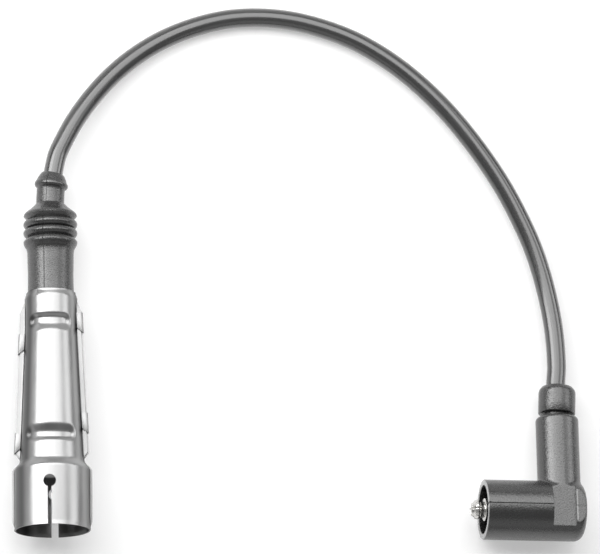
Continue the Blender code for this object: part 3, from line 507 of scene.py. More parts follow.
def hand_over(piece, place, material, replaced=(), sharp=math.radians(40)):
    """Give a piece its place, its material and its smooth shading, and fix it to the lead."""
    piece.data.transform(place)
    piece.data.materials.clear()
    piece.data.materials.append(material)
    piece.data.shade_smooth()
    piece.data.set_sharp_from_angle(angle=sharp)
    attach(piece, BODY)
    if replaced:
        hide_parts(*replaced)
    return piece


def grid_faces(rows, count, ends_meet=True, sides_meet=True):
    """Faces between rows of points; the last row may meet the first one, and each row its own start."""
    return [(row * count + i, row * count + (i + 1) % count,
             (row + 1) % rows * count + (i + 1) % count, (row + 1) % rows * count + i)
            for row in range(rows if ends_meet else rows - 1)
            for i in range(count if sides_meet else count - 1)]


def turned(name, profile, steps=96, closed=True):
    """Turn a profile of (radius, height) points about Z. Points at radius 0 close the ends."""
    angles = np.linspace(0, 2 * math.pi, steps, endpoint=False)
    profile = np.array(profile, float)
    points = np.stack([
        np.outer(profile[:, 0], np.sin(angles)), np.outer(-profile[:, 0], np.cos(angles)),
        np.repeat(profile[:, 1:2], steps, axis=1)], axis=-1).reshape(-1, 3)
    faces = grid_faces(len(profile), steps, closed)
    return tidy_mesh(mesh_object(name, points, faces), reach=1e-4, thin=True)


def box(name, low, high):
    """A box between two corners."""
    corners = product(*zip(low, high))
    faces = ((0, 1, 3, 2), (4, 6, 7, 5), (0, 4, 5, 1), (2, 3, 7, 6), (0, 2, 6, 4), (1, 5, 7, 3))
    return tidy_mesh(mesh_object(name, corners, faces))


def cut(thing, cutters):
    """Cut a piece with others by exact Booleans; the cutters go."""
    name = thing.name
    for cutter in cutters:
        modified(thing, "BOOLEAN", operation="DIFFERENCE", solver="EXACT", object=cutter)
    result = plain(thing, name)
    for cutter in cutters:
        bpy.data.objects.remove(cutter, do_unlink=True)
    return result


def softened(thing, width, name):
    """Round the sharp edges of a piece a little."""
    modified(thing, "BEVEL", width=width, segments=2, limit_method="ANGLE", angle_limit=math.radians(50),
             use_clamp_overlap=True)
    return plain(thing, name)


def ease(t):
    """Smooth step from 0 to 1."""
    t = np.clip(t, 0.0, 1.0)
    return (1 - np.cos(np.pi * t)) / 2


def arc(centre, radius, start, end, steps):
    """Points of an arc, angles in degrees from the radius axis towards the height axis."""
    return [(centre[0] + radius * math.cos(math.radians(a)), centre[1] + radius * math.sin(math.radians(a)))
            for a in np.linspace(start, end, steps)]


def smooth_line(points, samples):
    """A smooth line through (radius, height) points."""
    ends = [2 * np.array(points[0]) - np.array(points[1])] + [np.array(p) for p in points]
    ends += [2 * ends[-1] - ends[-2]]
    line = []
    for before, start, end, after in zip(ends, ends[1:], ends[2:], ends[3:]):
        span = np.linalg.norm(end - start)
        leave = (end - before) * span / (np.linalg.norm(start - before) + span)
        arrive = (after - start) * span / (np.linalg.norm(after - end) + span)
        for step in range(samples):
            t = step / samples
            line.append(tuple(start * (2 * t**3 - 3 * t**2 + 1) + leave * (t**3 - 2 * t**2 + t)
                              + end * (3 * t**2 - 2 * t**3) + arrive * (t**3 - t**2)))
    return line + [tuple(ends[-2])]


# Cable

def bend_point(point):
    """Bend a point of the spark plug connector with the boot's neck, towards +X."""
    radius = (BOOT_TOP_S - BOOT_NECK_S) / BOOT_BEND
    beyond = point[2] - BOOT_NECK_S
    if beyond <= 0:
        return Vector(point)
    angle = beyond / radius
    return Vector((radius - (radius - point[0]) * math.cos(angle), point[1],
                   BOOT_NECK_S + (radius - point[0]) * math.sin(angle)))


def cable_line():
    """Centre line of the cable in metres, from one ferrule to the other."""
    start = PLUG_FERRULE_S + FERRULE_FLOOR + GAP
    end = ELBOW_FERRULE_D + FERRULE_FLOOR + GAP
    heights = (start, (start + BOOT_NECK_S) / 2, BOOT_NECK_S, (BOOT_NECK_S + BOOT_TOP_S) / 2, BOOT_TOP_S)
    line = [plug_place() @ bend_point((0, 0, height)) for height in heights]
    line += [Vector(point) * MM for point in ROUTE]
    line += [elbow_place() @ Vector((0, distance, 0)) for distance in (GROMMET_TOP_D, end)]
    return [Vector(point) for point in smooth_line([tuple(point) for point in line], 10)]


def node_tree(name, **kinds):
    """A geometry node tree with named inputs of some kinds; returns it and what its inputs give."""
    tree = bpy.data.node_groups.new(name, "GeometryNodeTree")
    tree.is_modifier = True
    for label, kind in (("Geometry", "Geometry"), *kinds.items(), ("Material", "Material")):
        tree.interface.new_socket(label, in_out="INPUT", socket_type="NodeSocket" + kind)
    tree.interface.new_socket("Geometry", in_out="OUTPUT", socket_type="NodeSocketGeometry")
    return tree, add_node(tree, "NodeGroupInput").outputs


def end_tree(tree, geometry, material):
    """End a tree with real geometry that has its material."""
    real = add_node(tree, "GeometryNodeRealizeInstances", {"Geometry": geometry})
    dressed = add_node(tree, "GeometryNodeSetMaterial", {"Geometry": real, "Material": material})
    add_node(tree, "NodeGroupOutput", {"Geometry": dressed})
    return tree


def sweep_tree():
    """Geometry nodes that sweep a round profile along a line of edges.

    The result keeps each point's place on the unrolled jacket: across the section, and along the line.
    """
    tree, given = node_tree("round_sweep", Radius="Float", Sides="Int")
    line = add_node(tree, "GeometryNodeMeshToCurve", {"Mesh": given["Geometry"]})
    run = add_node(tree, "GeometryNodeSplineParameter").outputs["Length"]
    line = add_node(tree, "GeometryNodeStoreNamedAttribute", {"Geometry": line, "Name": "run", "Value": run},
                    data_type="FLOAT", domain="POINT")
    ring = add_node(tree, "GeometryNodeCurvePrimitiveCircle",
                    {"Resolution": given["Sides"], "Radius": given["Radius"]})
    spot = add_node(tree, "GeometryNodeInputPosition")
    ring = add_node(tree, "GeometryNodeStoreNamedAttribute",
                    {"Geometry": ring, "Name": "across", "Value": spot},
                    data_type="FLOAT_VECTOR", domain="POINT")
    swept = add_node(tree, "GeometryNodeCurveToMesh",
                     {"Curve": line, "Profile Curve": ring, "Fill Caps": True})
    across = add_node(tree, "GeometryNodeInputNamedAttribute", {"Name": "across"}, data_type="FLOAT_VECTOR")
    run = add_node(tree, "GeometryNodeInputNamedAttribute", {"Name": "run"}, data_type="FLOAT")
    parts = add_node(tree, "ShaderNodeSeparateXYZ", {"Vector": across.outputs["Attribute"]}).outputs
    jacket = add_node(tree, "ShaderNodeCombineXYZ",
                      {"X": parts["X"], "Y": parts["Y"], "Z": run.outputs["Attribute"]})
    swept = add_node(tree, "GeometryNodeStoreNamedAttribute",
                     {"Geometry": swept, "Name": "jacket", "Value": jacket},
                     data_type="FLOAT_VECTOR", domain="POINT")
    return end_tree(tree, swept, given["Material"])


def with_nodes(thing, tree, **values):
    """Put a node tree on an object as a modifier, with its inputs set by their identifiers."""
    modifier = thing.modifiers.new(tree.name, "NODES")
    modifier.node_group = tree
    for item in tree.interface.items_tree:
        if item.in_out == "INPUT" and item.name in values:
            modifier[item.identifier] = values[item.name]
    return thing


def cable(sizes, material):
    """The ignition cable, swept along its route."""
    line = cable_line()
    thread = mesh_object("cable_line", line, [], [(i, i + 1) for i in range(len(line) - 1)])
    with_nodes(thread, sweep_tree(), Radius=sizes.cable_radius, Sides=sizes.cable_sides, Material=material)
    piece = tidy_mesh(plain(thread, "cable"))
    hand_over(piece, Matrix.Identity(4), material, ["ignition_cable"])
    return piece


# Boot

def bellows_line(lobe_r, crease_r):
    """Rounded lobes with sharp creases between them; the top and the bottom lobe belong to other lines."""
    points = []
    for lobe in reversed(range(1, LOBES - 1)):
        middle = BELLOWS_S + LOBE_PITCH * (lobe + 0.5)
        for share in np.linspace(1.0, -1.0, 17):
            swell = max(1 - abs(share) ** 1.8, 0.0) ** 0.55
            points.append((crease_r + (lobe_r - crease_r) * swell, middle + share * LOBE_PITCH / 2))
    return points


def boot_profile(sizes):
    """Outside of the boot from its domed top down to its end in the shield, and its bore back up."""
    lobe_r = sizes.lobe_radius / MM
    crease_r = sizes.crease_radius / MM
    dome = smooth_line([(3.84, 130.6), (3.95, 130.9), (4.2, 130.78), (4.7, 129.95), (5.2, 128.9),
                        (5.5, 128.1)], 5)
    rim = smooth_line([(5.7, 127.75), (5.93, 127.35), (6.0, 126.9), (5.94, 126.4), (5.65, 125.95),
                       (5.2, 125.6)], 4)
    neck = [(5.06, 125.3), (5.0, 124.5), (5.02, 122.0), (5.05, 120.1), (5.1, 119.75)]
    shoulder = smooth_line([(5.35, 119.55), (6.4, 118.5), (7.55, 117.5), (8.65, 116.65), (9.3, 116.05),
                            (lobe_r - 0.1, 115.3)], 4)
    skirt = smooth_line([(lobe_r, 105.7), (9.6, 104.85), (9.2, 104.0), (8.72, 103.2), (8.45, 102.2),
                         (8.33, 100.5), (SLEEVE_R, 98.0), (8.2, 94.0), (8.22, 90.0), (SLEEVE_R, 87.4)], 5)
    inside_shield = [(SLEEVE_R, 87.15), (7.7, 87.05), (7.7, 85.7), (SLEEVE_R, 84.4), (SLEEVE_R, 79.7)]
    bore = [(6.6, 79.7), (6.6, 116.9), (CABLE_FIT_R, BOOT_NECK_S), (CABLE_FIT_R, 122.0),
            (CABLE_FIT_R, 124.8), (CABLE_FIT_R, 127.8), (CABLE_FIT_R, 130.4)]
    outside = dome + rim + neck + shoulder + bellows_line(lobe_r, crease_r) + skirt + inside_shield
    return outside, bore


def from_seam(angles):
    """Angle to the nearer of the boot's parting lines."""
    return np.min([np.abs((angles - seam + math.pi) % (2 * math.pi) - math.pi) for seam in SEAMS], axis=0)


def boot(sizes, material):
    """The rubber boot, turned with a fine groove where the two halves of its mould met, and bent."""
    outside, bore = boot_profile(sizes)
    angles = np.linspace(0, 2 * math.pi, sizes.ring_steps, endpoint=False)
    angles = list(angles[from_seam(angles) > GROOVE_CLEAR * GROOVE])
    angles += [(seam + GROOVE * step) % (2 * math.pi) for seam in SEAMS for step in GROOVE_STEPS]
    angles = np.array(sorted(angles))
    depth = GROOVE_DEPTH * np.clip(1 - from_seam(angles) / GROOVE, 0, 1)
    rings = [(radius - depth, height) for radius, height in outside]
    rings += [(radius + 0 * depth, height) for radius, height in bore]
    points = [bend_point((r * math.sin(a), -r * math.cos(a), height))
              for ring, height in rings for r, a in zip(ring, angles)]
    piece = tidy_mesh(mesh_object("rubber_boot", points, grid_faces(len(rings), len(angles))))
    return hand_over(piece, plug_place(), material, ["plug_boot"], math.radians(50))


# Shield

def shield_radius(s):
    """Outer radius of the shield at a height."""
    if s <= CUP_LEN:
        return CUP_R + CUP_FLARE * float(ease(1 - s / CUP_FLARE_LEN))
    if s <= CONE_S:
        return CUP_R + (CONE_LOW_R - CUP_R) * float(ease((s - CUP_LEN) / (CONE_S - CUP_LEN)))
    if s <= COLLAR_S:
        return CONE_LOW_R + (COLLAR_R - CONE_LOW_R) * (s - CONE_S) / (COLLAR_S - CONE_S)
    if s <= LIP_S:
        return COLLAR_R
    return COLLAR_R + (LIP_R - COLLAR_R) * float(ease((s - LIP_S) / (SHIELD_S - LIP_S)))


def flange_width(s):
    """How far the flange stands out beside the shield's body at a height."""
    foot_low, foot_high = FLANGE_FOOT_S
    head_low, head_high = FLANGE_HEAD_S
    if s <= CUP_LEN:
        share = min(max((s - CUP_FLANGE_START) / CUP_FLANGE_RAMP, 0.0), 1.0)
        return CUP_FLANGE_LEAST + (CUP_FLANGE - CUP_FLANGE_LEAST) * share
    if s <= foot_low:
        return CUP_FLANGE + (END_FLANGE - CUP_FLANGE) * float(ease((s - CUP_LEN) / (foot_low - CUP_LEN)))
    if s <= foot_high:
        return END_FLANGE + (FLANGE - END_FLANGE) * (s - foot_low) / (foot_high - foot_low)
    if s <= head_low:
        return FLANGE
    return FLANGE + (END_FLANGE - FLANGE) * min((s - head_low) / (head_high - head_low), 1.0)


def pressed(s, angle, radius):
    """Depth of the beads at a height and an angle from the middle of the front."""
    depth = 0.0
    for middle, (above, below) in zip(BEAD_S, BEAD_SLOPES):
        half_len = radius * BEAD_HALF_ANGLE - BEAD_HALF
        over = np.maximum(np.abs(angle) * radius - half_len, 0.0)
        away = np.hypot(over, s - middle)
        slope = (above + below) / 2 + (above - below) / 2 * (s - middle) / np.maximum(away, 0.01)
        depth = depth + BEAD_DEPTH * ease((BEAD_HALF - away) / slope)
    return depth


def shield_rows():
    """Heights of the shield's rows, close together where it curves."""
    rows = np.unique(np.round(np.concatenate([np.arange(*span) for span in ROW_SPANS] + [[SHIELD_S]]), 3))
    kept = [rows[0]]
    for row in rows[1:]:
        if row - kept[-1] > ROW_LEAST:
            kept.append(row)
    return kept[:-1] + [SHIELD_S] if kept[-1] != SHIELD_S else kept


def sheet_line(s, side, inset, sheet):
    """Outer line of one half of the shield at a height, from flange edge to flange edge."""
    radius = shield_radius(s)
    # The least width and bend keep the sheet open where there is nearly no flange
    width = max(flange_width(s) - inset, 0.12)
    face = GAP / 2 + sheet
    bend = float(np.clip(width - 0.15, 0.08, BEND_R))
    centre = math.sqrt((radius + bend) ** 2 - (face + bend) ** 2)
    meet = math.atan2(face + bend, centre)
    edge = max(radius + width, centre + 0.05)
    left = [(edge + (centre - edge) * t, face) for t in (0.0, 0.5, 1.0)]
    left += [(centre - bend * math.sin(a), face + bend - bend * math.cos(a))
             for a in np.linspace(0, math.pi / 2 - meet, 6)[1:-1]]
    around = np.linspace(meet, math.pi - meet, 73)
    reach = radius - pressed(s, around - math.pi / 2, radius)
    body = [(r * math.cos(a), r * math.sin(a)) for r, a in zip(reach, around)]
    line = left + body + [(-x, y) for x, y in reversed(left)]
    return [(x, side * y, s) for x, y in line]


def shield_half(name, side, inset, sizes, cutters):
    """One half of the shield: a pressed sheet with its flanges, cut by the keyhole."""
    sheet = sizes.sheet / MM
    rows = [sheet_line(s, side, inset, sheet) for s in shield_rows()]
    faces = [face[::side] for face in grid_faces(len(rows), len(rows[0]), ends_meet=False, sides_meet=False)]
    shell = mesh_object(name, [point for row in rows for point in row], faces)
    modified(shell, "SOLIDIFY", thickness=sheet, offset=-1, use_even_offset=True)
    return mark_flange_and_flank_shade(cut(shell, cutters))


def keyhole(side, slit_points):
    """Cutters for the round hole and the slit below it, through one side of the cup only."""
    hole = turned("hole", [(0, -8), (KEYHOLE_R, -8), (KEYHOLE_R, 8), (0, 8)], 48, closed=False)
    hole.data.transform(Matrix.Translation((0, side * 13, KEYHOLE_S)) @ Matrix.Rotation(math.pi / 2, 4, "X"))
    near, far = side * 6.0, side * 16.0
    count = len(slit_points)
    points = [(x, y, z) for y in (near, far) for x, z in slit_points]
    faces = [tuple(range(count)), tuple(range(2 * count - 1, count - 1, -1))]
    faces += [(i, i + count, (i + 1) % count + count, (i + 1) % count) for i in range(count)]
    return [hole, tidy_mesh(mesh_object("slit", points, faces))]


def tab_points(side, lows):
    """Where the tabs of one side stand, as vertices on the flange's edge."""
    middles = [low + TAB_LEN / 2 for low in lows]
    return [(side * (shield_radius(middle) + FLANGE), 0, middle) for middle in middles]


def tab_strip(sheet):
    """One crimp tab for the right side: a strip folded round the flanges, its lower end cut aslant."""
    top = -(GAP / 2 + sheet + 0.1 + sheet / 2)
    under = (GAP + sheet) / 2
    radius = (under - top) / 2
    middle = (under + top) / 2
    fold = [(TAB_FOLD_X + radius * math.sin(a), middle + radius * math.cos(a))
            for a in np.linspace(0, math.pi, 13)]
    path = np.array([(TAB_FOLD_X - TAB_TAIL, under), *fold, (TAB_FOLD_X - TAB_REACH / 2, top),
                     (TAB_FOLD_X - TAB_REACH, top)])
    along = np.gradient(path, axis=0)
    along /= np.linalg.norm(along, axis=1)[:, None]
    across = np.stack([-along[:, 1], along[:, 0]], axis=-1) * sheet / 2
    outline = np.concatenate([path + across, (path - across)[::-1]])
    points = [(x, y, -TAB_LEN / 2 - TAB_SLANT * (1 / 2 + x / TAB_REACH)) for x, y in outline]
    points += [(x, y, TAB_LEN / 2) for x, y in outline]
    count = len(outline)
    half = count // 2
    faces = [(i, (i + 1) % count, (i + 1) % count + count, i + count) for i in range(count)]
    for start in (0, count):
        faces += [(start + i, start + i + 1, start + count - 2 - i, start + count - 1 - i)
                  for i in range(half - 1)]
    return softened(tidy_mesh(mesh_object("tab_strip", points, faces)), 0.08, "tab_strip")


def tab_tree():
    """Geometry nodes that stand a tab on every point, leaning with the cone, mirrored for the left side."""
    tree, given = node_tree("crimp_tabs", Tab="Object", Side="Float", Lean="Float")
    strip = add_node(tree, "GeometryNodeObjectInfo", {"Object": given["Tab"]}).outputs["Geometry"]
    mirror = add_node(tree, "ShaderNodeCombineXYZ", {"X": given["Side"], "Y": 1.0, "Z": 1.0})
    strip = add_node(tree, "GeometryNodeTransform", {"Geometry": strip, "Scale": mirror})
    lean = add_node(tree, "ShaderNodeCombineXYZ", {"Y": given["Lean"]})
    stood = add_node(tree, "GeometryNodeInstanceOnPoints",
                     {"Points": given["Geometry"], "Instance": strip, "Rotation": lean})
    return end_tree(tree, stood, given["Material"])


def mark_flange_and_flank_shade(piece, everywhere=False):
    """Note on each point how far it belongs to a flange (X), and how much painted shade, standing in for a
    dark reflection, the flank beside it takes (Y).
    """
    values = []
    for vertex in piece.data.vertices:
        x, y, s = vertex.co
        flange = 1.0 if everywhere else float(ease((abs(x) - shield_radius(s) - 0.1) / 0.4))
        lean = math.degrees(math.atan2(abs(x), abs(y)))
        start, span = PAINTED_FLANK_LEFT if x < 0 else PAINTED_FLANK_RIGHT
        flank_shade = float(ease((lean - start) / span)) * (1 - flange)
        values += [flange, flank_shade, 0.0]
    wear = piece.data.attributes.new("wear", "FLOAT_VECTOR", "POINT")
    wear.data.foreach_set("vector", values)
    return piece


def crimp_tabs(name, side, lows, tree, strip, material):
    """The tabs of one side of the shield, held by the back half."""
    points = mesh_object(name + "_points", tab_points(side, lows), [])
    lean = side * math.atan((COLLAR_R - CONE_LOW_R) / (COLLAR_S - CONE_S))
    with_nodes(points, tree, Tab=strip, Side=float(side), Lean=lean, Material=material)
    return hand_over(mark_flange_and_flank_shade(tidy_mesh(plain(points, name)), True), shield_place(), material)


def shield(sizes, material):
    """Both halves of the steel shield, and the tabs that hold them together."""
    torn = [(-SLIT_LEFT, KEYHOLE_S), (-SLIT_LEFT, -1.0)] + [(width, s) for s, width in reversed(TORN_SLIT)]
    half = BACK_SLIT / 2
    straight = [(-half, KEYHOLE_S), (-half, -1.0), (half, -1.0), (half, KEYHOLE_S)]
    front = shield_half("shield_front", -1, FRONT_INSET, sizes, keyhole(-1, torn))
    hand_over(front, shield_place(), material, ["plug_shield_front"])
    back = shield_half("shield_back", 1, 0.0, sizes, keyhole(1, straight))
    hand_over(back, shield_place(), material, ["plug_shield_back"])
    tree = tab_tree()
    strip = tab_strip(sizes.sheet / MM)
    crimp_tabs("tabs_left", -1, TAB_LEFT_S, tree, strip, material)
    crimp_tabs("tabs_right", 1, TAB_RIGHT_S, tree, strip, material)
    bpy.data.objects.remove(strip, do_unlink=True)


# Inside of the spark plug connector

def insulator_line():
    """Profile of the insulating tube, with ring grooves behind the shield's beads."""
    heights = [s for s in shield_rows() if CONE_S < s < NECK_S]
    outer = [(shield_radius(s) - TUBE_CLEAR - float(pressed(s, np.zeros(1), shield_radius(s))[0]), s)
             for s in heights]
    return [(NECK_R, NECK_TOP_S), (NECK_R, NECK_S)] + outer[::-1] + [
        (10.3, CONE_S + 0.15), (10.1, CONE_S), (7.75, CONE_S), (7.6, CONE_S + 0.15), (7.6, 34.7), (6.4, 34.7),
        (6.4, CLIP_SEAT_S), (5.3, CLIP_SEAT_S), (5.3, CLIP_TOP_S), (CHAMBER_R, CLIP_TOP_S), (CHAMBER_R, 90.4),
        (FERRULE_BORE_R, 90.4), (FERRULE_BORE_R, NECK_TOP_S)]


def inner_pieces(colours):
    """Insulating tube, seal and clip, seen through the cup, and materials for the sealed pieces."""
    phenolic, rubber = moulded_phenolic(colours), moulded_rubber(colours)
    brass, wire = turned_brass(colours), drawn_spring_wire(colours)
    ceramic = fired_ceramic(colours)
    hand_over(turned("insulating_tube", insulator_line()), plug_place(), phenolic,
              ["plug_insulator"])
    ribs = [point for middle in (27.4, 30.0, 32.6) for point in arc((6.35, middle), 0.45, -90, -270, 9)]
    seal = [(7.3, 34.4), (7.3, 25.5), (6.6, 25.5)] + ribs + [(6.6, 34.4)]
    hand_over(turned("porcelain_seal", seal), plug_place(), rubber, ["plug_seal"])
    clip = [(0, 73.4), (3.5, 73.4), (3.5, 70.4), (4.0, 70.4), (4.0, 57.4), (5.9, 57.4), (6.1, 57.2),
            (6.1, 56.4), (5.9, 56.2), (3.7, 56.2), (3.35, 56.6), (3.3, 57.6), (3.3, 68.7), (0, 68.7)]
    slots = [box("slot_x", (-6.7, -0.4, 55.9), (6.7, 0.4, 65.2)),
             box("slot_y", (-0.4, -6.7, 55.9), (0.4, 6.7, 65.2))]
    socket = cut(turned("contact_clip", clip, 72, closed=False), slots)
    hand_over(socket, plug_place(), brass, ["plug_contact_clip"])
    # The first word that a node's name holds counts: a spring is a ring too, and a resistor's cap a cap
    finishes = {"ring": wire, "cap": brass, "ferrule": brass, "resistor": ceramic}
    for name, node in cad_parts.items():
        kind = next((word for word in finishes if word in name), None)
        if kind and not node.hide_render:
            node.data.materials.clear()
            node.data.materials.append(finishes[kind])


# Elbow

def graded(low, high, step, fine):
    """Grid lines one step apart, with closer lines around some places."""
    lines = list(np.arange(low, high + step, step))
    for place, reach, small in fine:
        lines = [line for line in lines if abs(line - place) > reach + small / 2]
        lines += list(np.arange(place - reach, place + reach + small / 2, small))
    return np.array(sorted(lines))


def skin(distance, axes):
    """Closed surface of a solid from its distance function: a point in each grid cell that the
    surface crosses, joined to its neighbours and moved on to the surface."""
    grid = np.stack(np.meshgrid(*axes, indexing="ij"), axis=-1)
    inside = distance(grid) < 0
    cells = [n - 1 for n in inside.shape]
    count = np.zeros(cells, int)
    for corner in product((0, 1), repeat=3):
        count += inside[tuple(slice(c, c + n) for c, n in zip(corner, cells))]
    crossed = (count > 0) & (count < 8)
    index = np.full(cells, -1)
    index[crossed] = np.arange(int(crossed.sum()))
    found = np.argwhere(crossed)
    points = np.stack([(axes[a][found[:, a]] + axes[a][found[:, a] + 1]) / 2 for a in range(3)], axis=-1)
    faces = []
    for a in range(3):
        b, c = (a + 1) % 3, (a + 2) % 3
        first = np.moveaxis(np.moveaxis(inside, a, 0)[:-1], 0, a)
        second = np.moveaxis(np.moveaxis(inside, a, 0)[1:], 0, a)
        spots = np.argwhere(first != second)
        out = first[tuple(spots.T)]
        quad = []
        for step_b, step_c in ((0, 0), (-1, 0), (-1, -1), (0, -1)):
            near = spots.copy()
            near[:, b] += step_b
            near[:, c] += step_c
            quad.append(index[tuple(near.T)])
        quad = np.stack(quad, axis=-1)
        quad[~out] = quad[~out][:, ::-1]
        faces.append(quad)
    # Short steps down the slope of the distance bring each point on to the surface near its cell
    small = 0.01
    for _ in range(6):
        value = distance(points)
        slope = np.stack([(distance(points + small * unit) - distance(points - small * unit)) / (2 * small)
                          for unit in np.eye(3)], axis=-1)
        step = slope * (value / np.maximum((slope ** 2).sum(-1), 0.2))[:, None]
        length = np.linalg.norm(step, axis=-1, keepdims=True)
        points = points - step * np.minimum(1.0, 0.25 / np.maximum(length, 1e-9))
    return points, np.concatenate(faces)


def joined(a, b, radius):
    """Distance to two solids joined with a fillet."""
    inner = np.hypot(np.maximum(radius - a, 0), np.maximum(radius - b, 0))
    return np.maximum(radius, np.minimum(a, b)) - inner


def shared(a, b, radius):
    """Distance to what two solids share, with a rounded edge."""
    outer = np.hypot(np.maximum(radius + a, 0), np.maximum(radius + b, 0))
    return np.minimum(-radius, np.maximum(a, b)) + outer


def elbow_distance(points):
    """Distance to the elbow's surface, in millimetres in its own frame.

    The last number of each shared() is the radius of the edge that it makes.
    """
    x, y, z = points[..., 0], points[..., 1], points[..., 2]
    round_x = np.hypot(y, z)
    round_y = np.hypot(x, z)
    barrel = shared(shared(round_x - BARREL_R, x - REAR_X, REAR_FILLET), MOUTH_X - x, 0.35)
    tube = shared(shared(round_y - TUBE_R, y - TUBE_LEN, TUBE_FILLET), -y, 0.1)
    solid = joined(barrel, tube, JUNCTION_FILLET)
    height = np.abs(z)
    left, right = FLAT_X
    deep = np.maximum(np.abs(x - (left + right) / 2) - (right - left) / 2, DEEP_FLAT - height)
    solid = shared(solid, -deep, 0.15)
    solid = shared(solid, -np.maximum(right - 0.01 - x, RIB_TOP - height), 0.12)
    solid = shared(solid, -np.maximum(RIB_X - x, SHALLOW_FLAT - height), 0.12)
    line = LINE_DEPTH * np.clip(1 - np.abs(y) / LINE_HALF, 0, 1)
    notch = NOTCH_DEPTH * np.clip(1 - np.abs(y) / NOTCH_HALF, 0, 1) * np.clip((MOUTH_X + 0.9 - x) / 0.5, 0, 1)
    solid = solid + np.where(round_x > SOCKET_R, line + notch, 0.0)
    socket = shared(round_x - SOCKET_R, x - SOCKET_X, 0.6)
    solid = shared(solid, -socket, 0.25)
    near, far = CHAMBER_D
    pin_bore = shared(round_x - PIN_BORE_R, x - PIN_BORE_X, 0.1)
    chamber = shared(shared(round_y - CHAMBER_R, y - far, 0.1), near - y, 0.1)
    ferrule_bore = shared(round_y - FERRULE_BORE_R, FERRULE_BORE_D - y, 0.1)
    for hollow in (pin_bore, chamber, ferrule_bore):
        solid = shared(solid, -hollow, 0.1)
    return solid


def elbow(sizes, material):
    """The moulded elbow: barrel with socket, tube, finger flats, rib and parting line."""
    step = sizes.skin_step / MM
    # Places with edges, how far the closer mesh lines reach to both sides, and how far apart they are
    edges_x = [(MOUTH_X, 0.5, 0.14), (FLAT_X[0], 0.25, 0.11), (FLAT_X[1], 0.25, 0.11), (RIB_X, 0.25, 0.11),
               (SOCKET_X, 0.4, 0.2)]
    edges_y = [(0.0, 0.3, 0.07), (TUBE_LEN, 0.3, 0.15)]
    edges_z = [(side * flat, 0.25, 0.11) for side in (-1, 1) for flat in (DEEP_FLAT, SHALLOW_FLAT, RIB_TOP)]
    axes = [graded(MOUTH_X - 1, REAR_X + 1, step, edges_x),
            graded(-BARREL_R - 1, TUBE_LEN + 1, step, edges_y),
            graded(-BARREL_R - 1, BARREL_R + 1, step, edges_z)]
    points, faces = skin(elbow_distance, axes)
    piece = mesh_object("elbow_body", points, faces)
    # Painted highlight along the mouth's rim and on the rib
    rim = piece.data.attributes.new("rim", "FLOAT", "POINT")
    edge = 1 - ease((points[:, 0] - MOUTH_X - 0.02) / 0.25)
    on_rib = (points[:, 0] > FLAT_X[1] + 0.1) & (points[:, 0] < RIB_X + 0.05)
    on_rib &= (np.abs(points[:, 2]) > SHALLOW_FLAT + 0.1) & (np.abs(points[:, 2]) < RIB_TOP + 0.15)
    rim.data.foreach_set("value", np.maximum(edge, PAINTED_RIB_HIGHLIGHT * on_rib))
    return hand_over(piece, elbow_place(), material, ["elbow_housing"], math.radians(60))


def terminal(material):
    """The split pin in the elbow's socket."""
    mouth, floor = -MOUTH_X, -SOCKET_X
    head = [(0, 4.6), (1.7, 4.6)] + arc((1.75, 4.15), 0.45, 90, 30, 4)
    head += smooth_line([(2.55, 3.7), (3.25, 3.1), (3.5, 2.4), (3.45, 1.8), (3.0, 1.2), (2.9, 0.7)], 4)
    head += [(2.9, -0.3), (3.95, -0.3), (4.15, -0.45), (4.2, -0.7), (4.15, -1.0), (3.95, -1.2), (3.2, -1.2)]
    profile = [(radius, mouth + height) for radius, height in head]
    profile += [(3.2, floor + 0.6), (3.0, floor + 0.3), (2.5, floor + 0.3), (2.5, -3.4), (0, -3.4)]
    slots = [box("slot_z", (-4, -0.35, mouth - 0.1), (4, 0.35, mouth + 6)),
             box("slot_y", (-0.35, -4, mouth - 0.1), (0.35, 4, mouth + 6))]
    piece = cut(turned("split_pin", profile, 72, closed=False), slots)
    return hand_over(softened(piece, 0.06, "split_pin"), along_barrel(), material,
                     ["elbow_terminal"])


def grommet(material):
    """The rubber collar on the cable; it sits a little aslant on the elbow's tube."""
    top = GROMMET_TOP_D
    outside = smooth_line([(4.85, top), (5.6, top - 0.35), (6.45, top - 1.4), (6.68, top - 2.1),
                           (GROMMET_R, top - 2.9)], 4)
    profile = [(3.85, top - 0.25), (4.0, top)] + outside + [
        (GROMMET_R, 40.0), (6.74, 36.6), (6.62, 36.35), (6.4, 36.25), (4.4, 36.2), (4.4, 30.4),
        (CABLE_FIT_R, 30.4)]
    piece = turned("grommet", profile, 96)
    tilt = Matrix.Rotation(GROMMET_TILT, 4, "Y")
    for vertex in piece.data.vertices:
        if vertex.co.z > GROMMET_D - 0.1:
            low = Vector((0, 0, GROMMET_D))
            vertex.co = tilt @ (vertex.co - low) + low
    return hand_over(piece, along_tube(), material, ["elbow_grommet"])


# Stage

TARGET = Vector((2.55, 32.6, 0)) * MM
CAMERA_DISTANCE = 2.5
CAMERA_LEFT = math.radians(9.9)
CAMERA_FRONT = math.radians(11.0)
LENS = 412.5
# Sizes of the stage are in metres, and brightness is such that 1 is white
FLOOR_HALF = 8
LAMP_HEIGHT = 0.82
# Strips of the light over the lead, from left to right: start and end in X, and brightness
STRIPS = ((-4.0, -2.4, 2.5), (-2.4, -0.57, 6.2), (-0.57, -0.07, 4.0), (-0.07, 0.42, 3.2),
          (0.42, 0.85, 1.0), (0.85, 3.0, 3.0))
STRIP_Y = (0.08, 1.0)
# Upright fills in front of the lead and behind it: place in Y, lower and upper edge, half width, brightness
FILLS = ((-1.5, 0.25, 1.45, 1.6, 0.4), (1.5, 0.15, 0.65, 1.6, 0.8))
PAPER_GLOW = 0.4
# The room round the stage: how much light it gives, and how bright it looks in reflections
ROOM_LIGHT = 0.085
ROOM_SHINE = 0.26


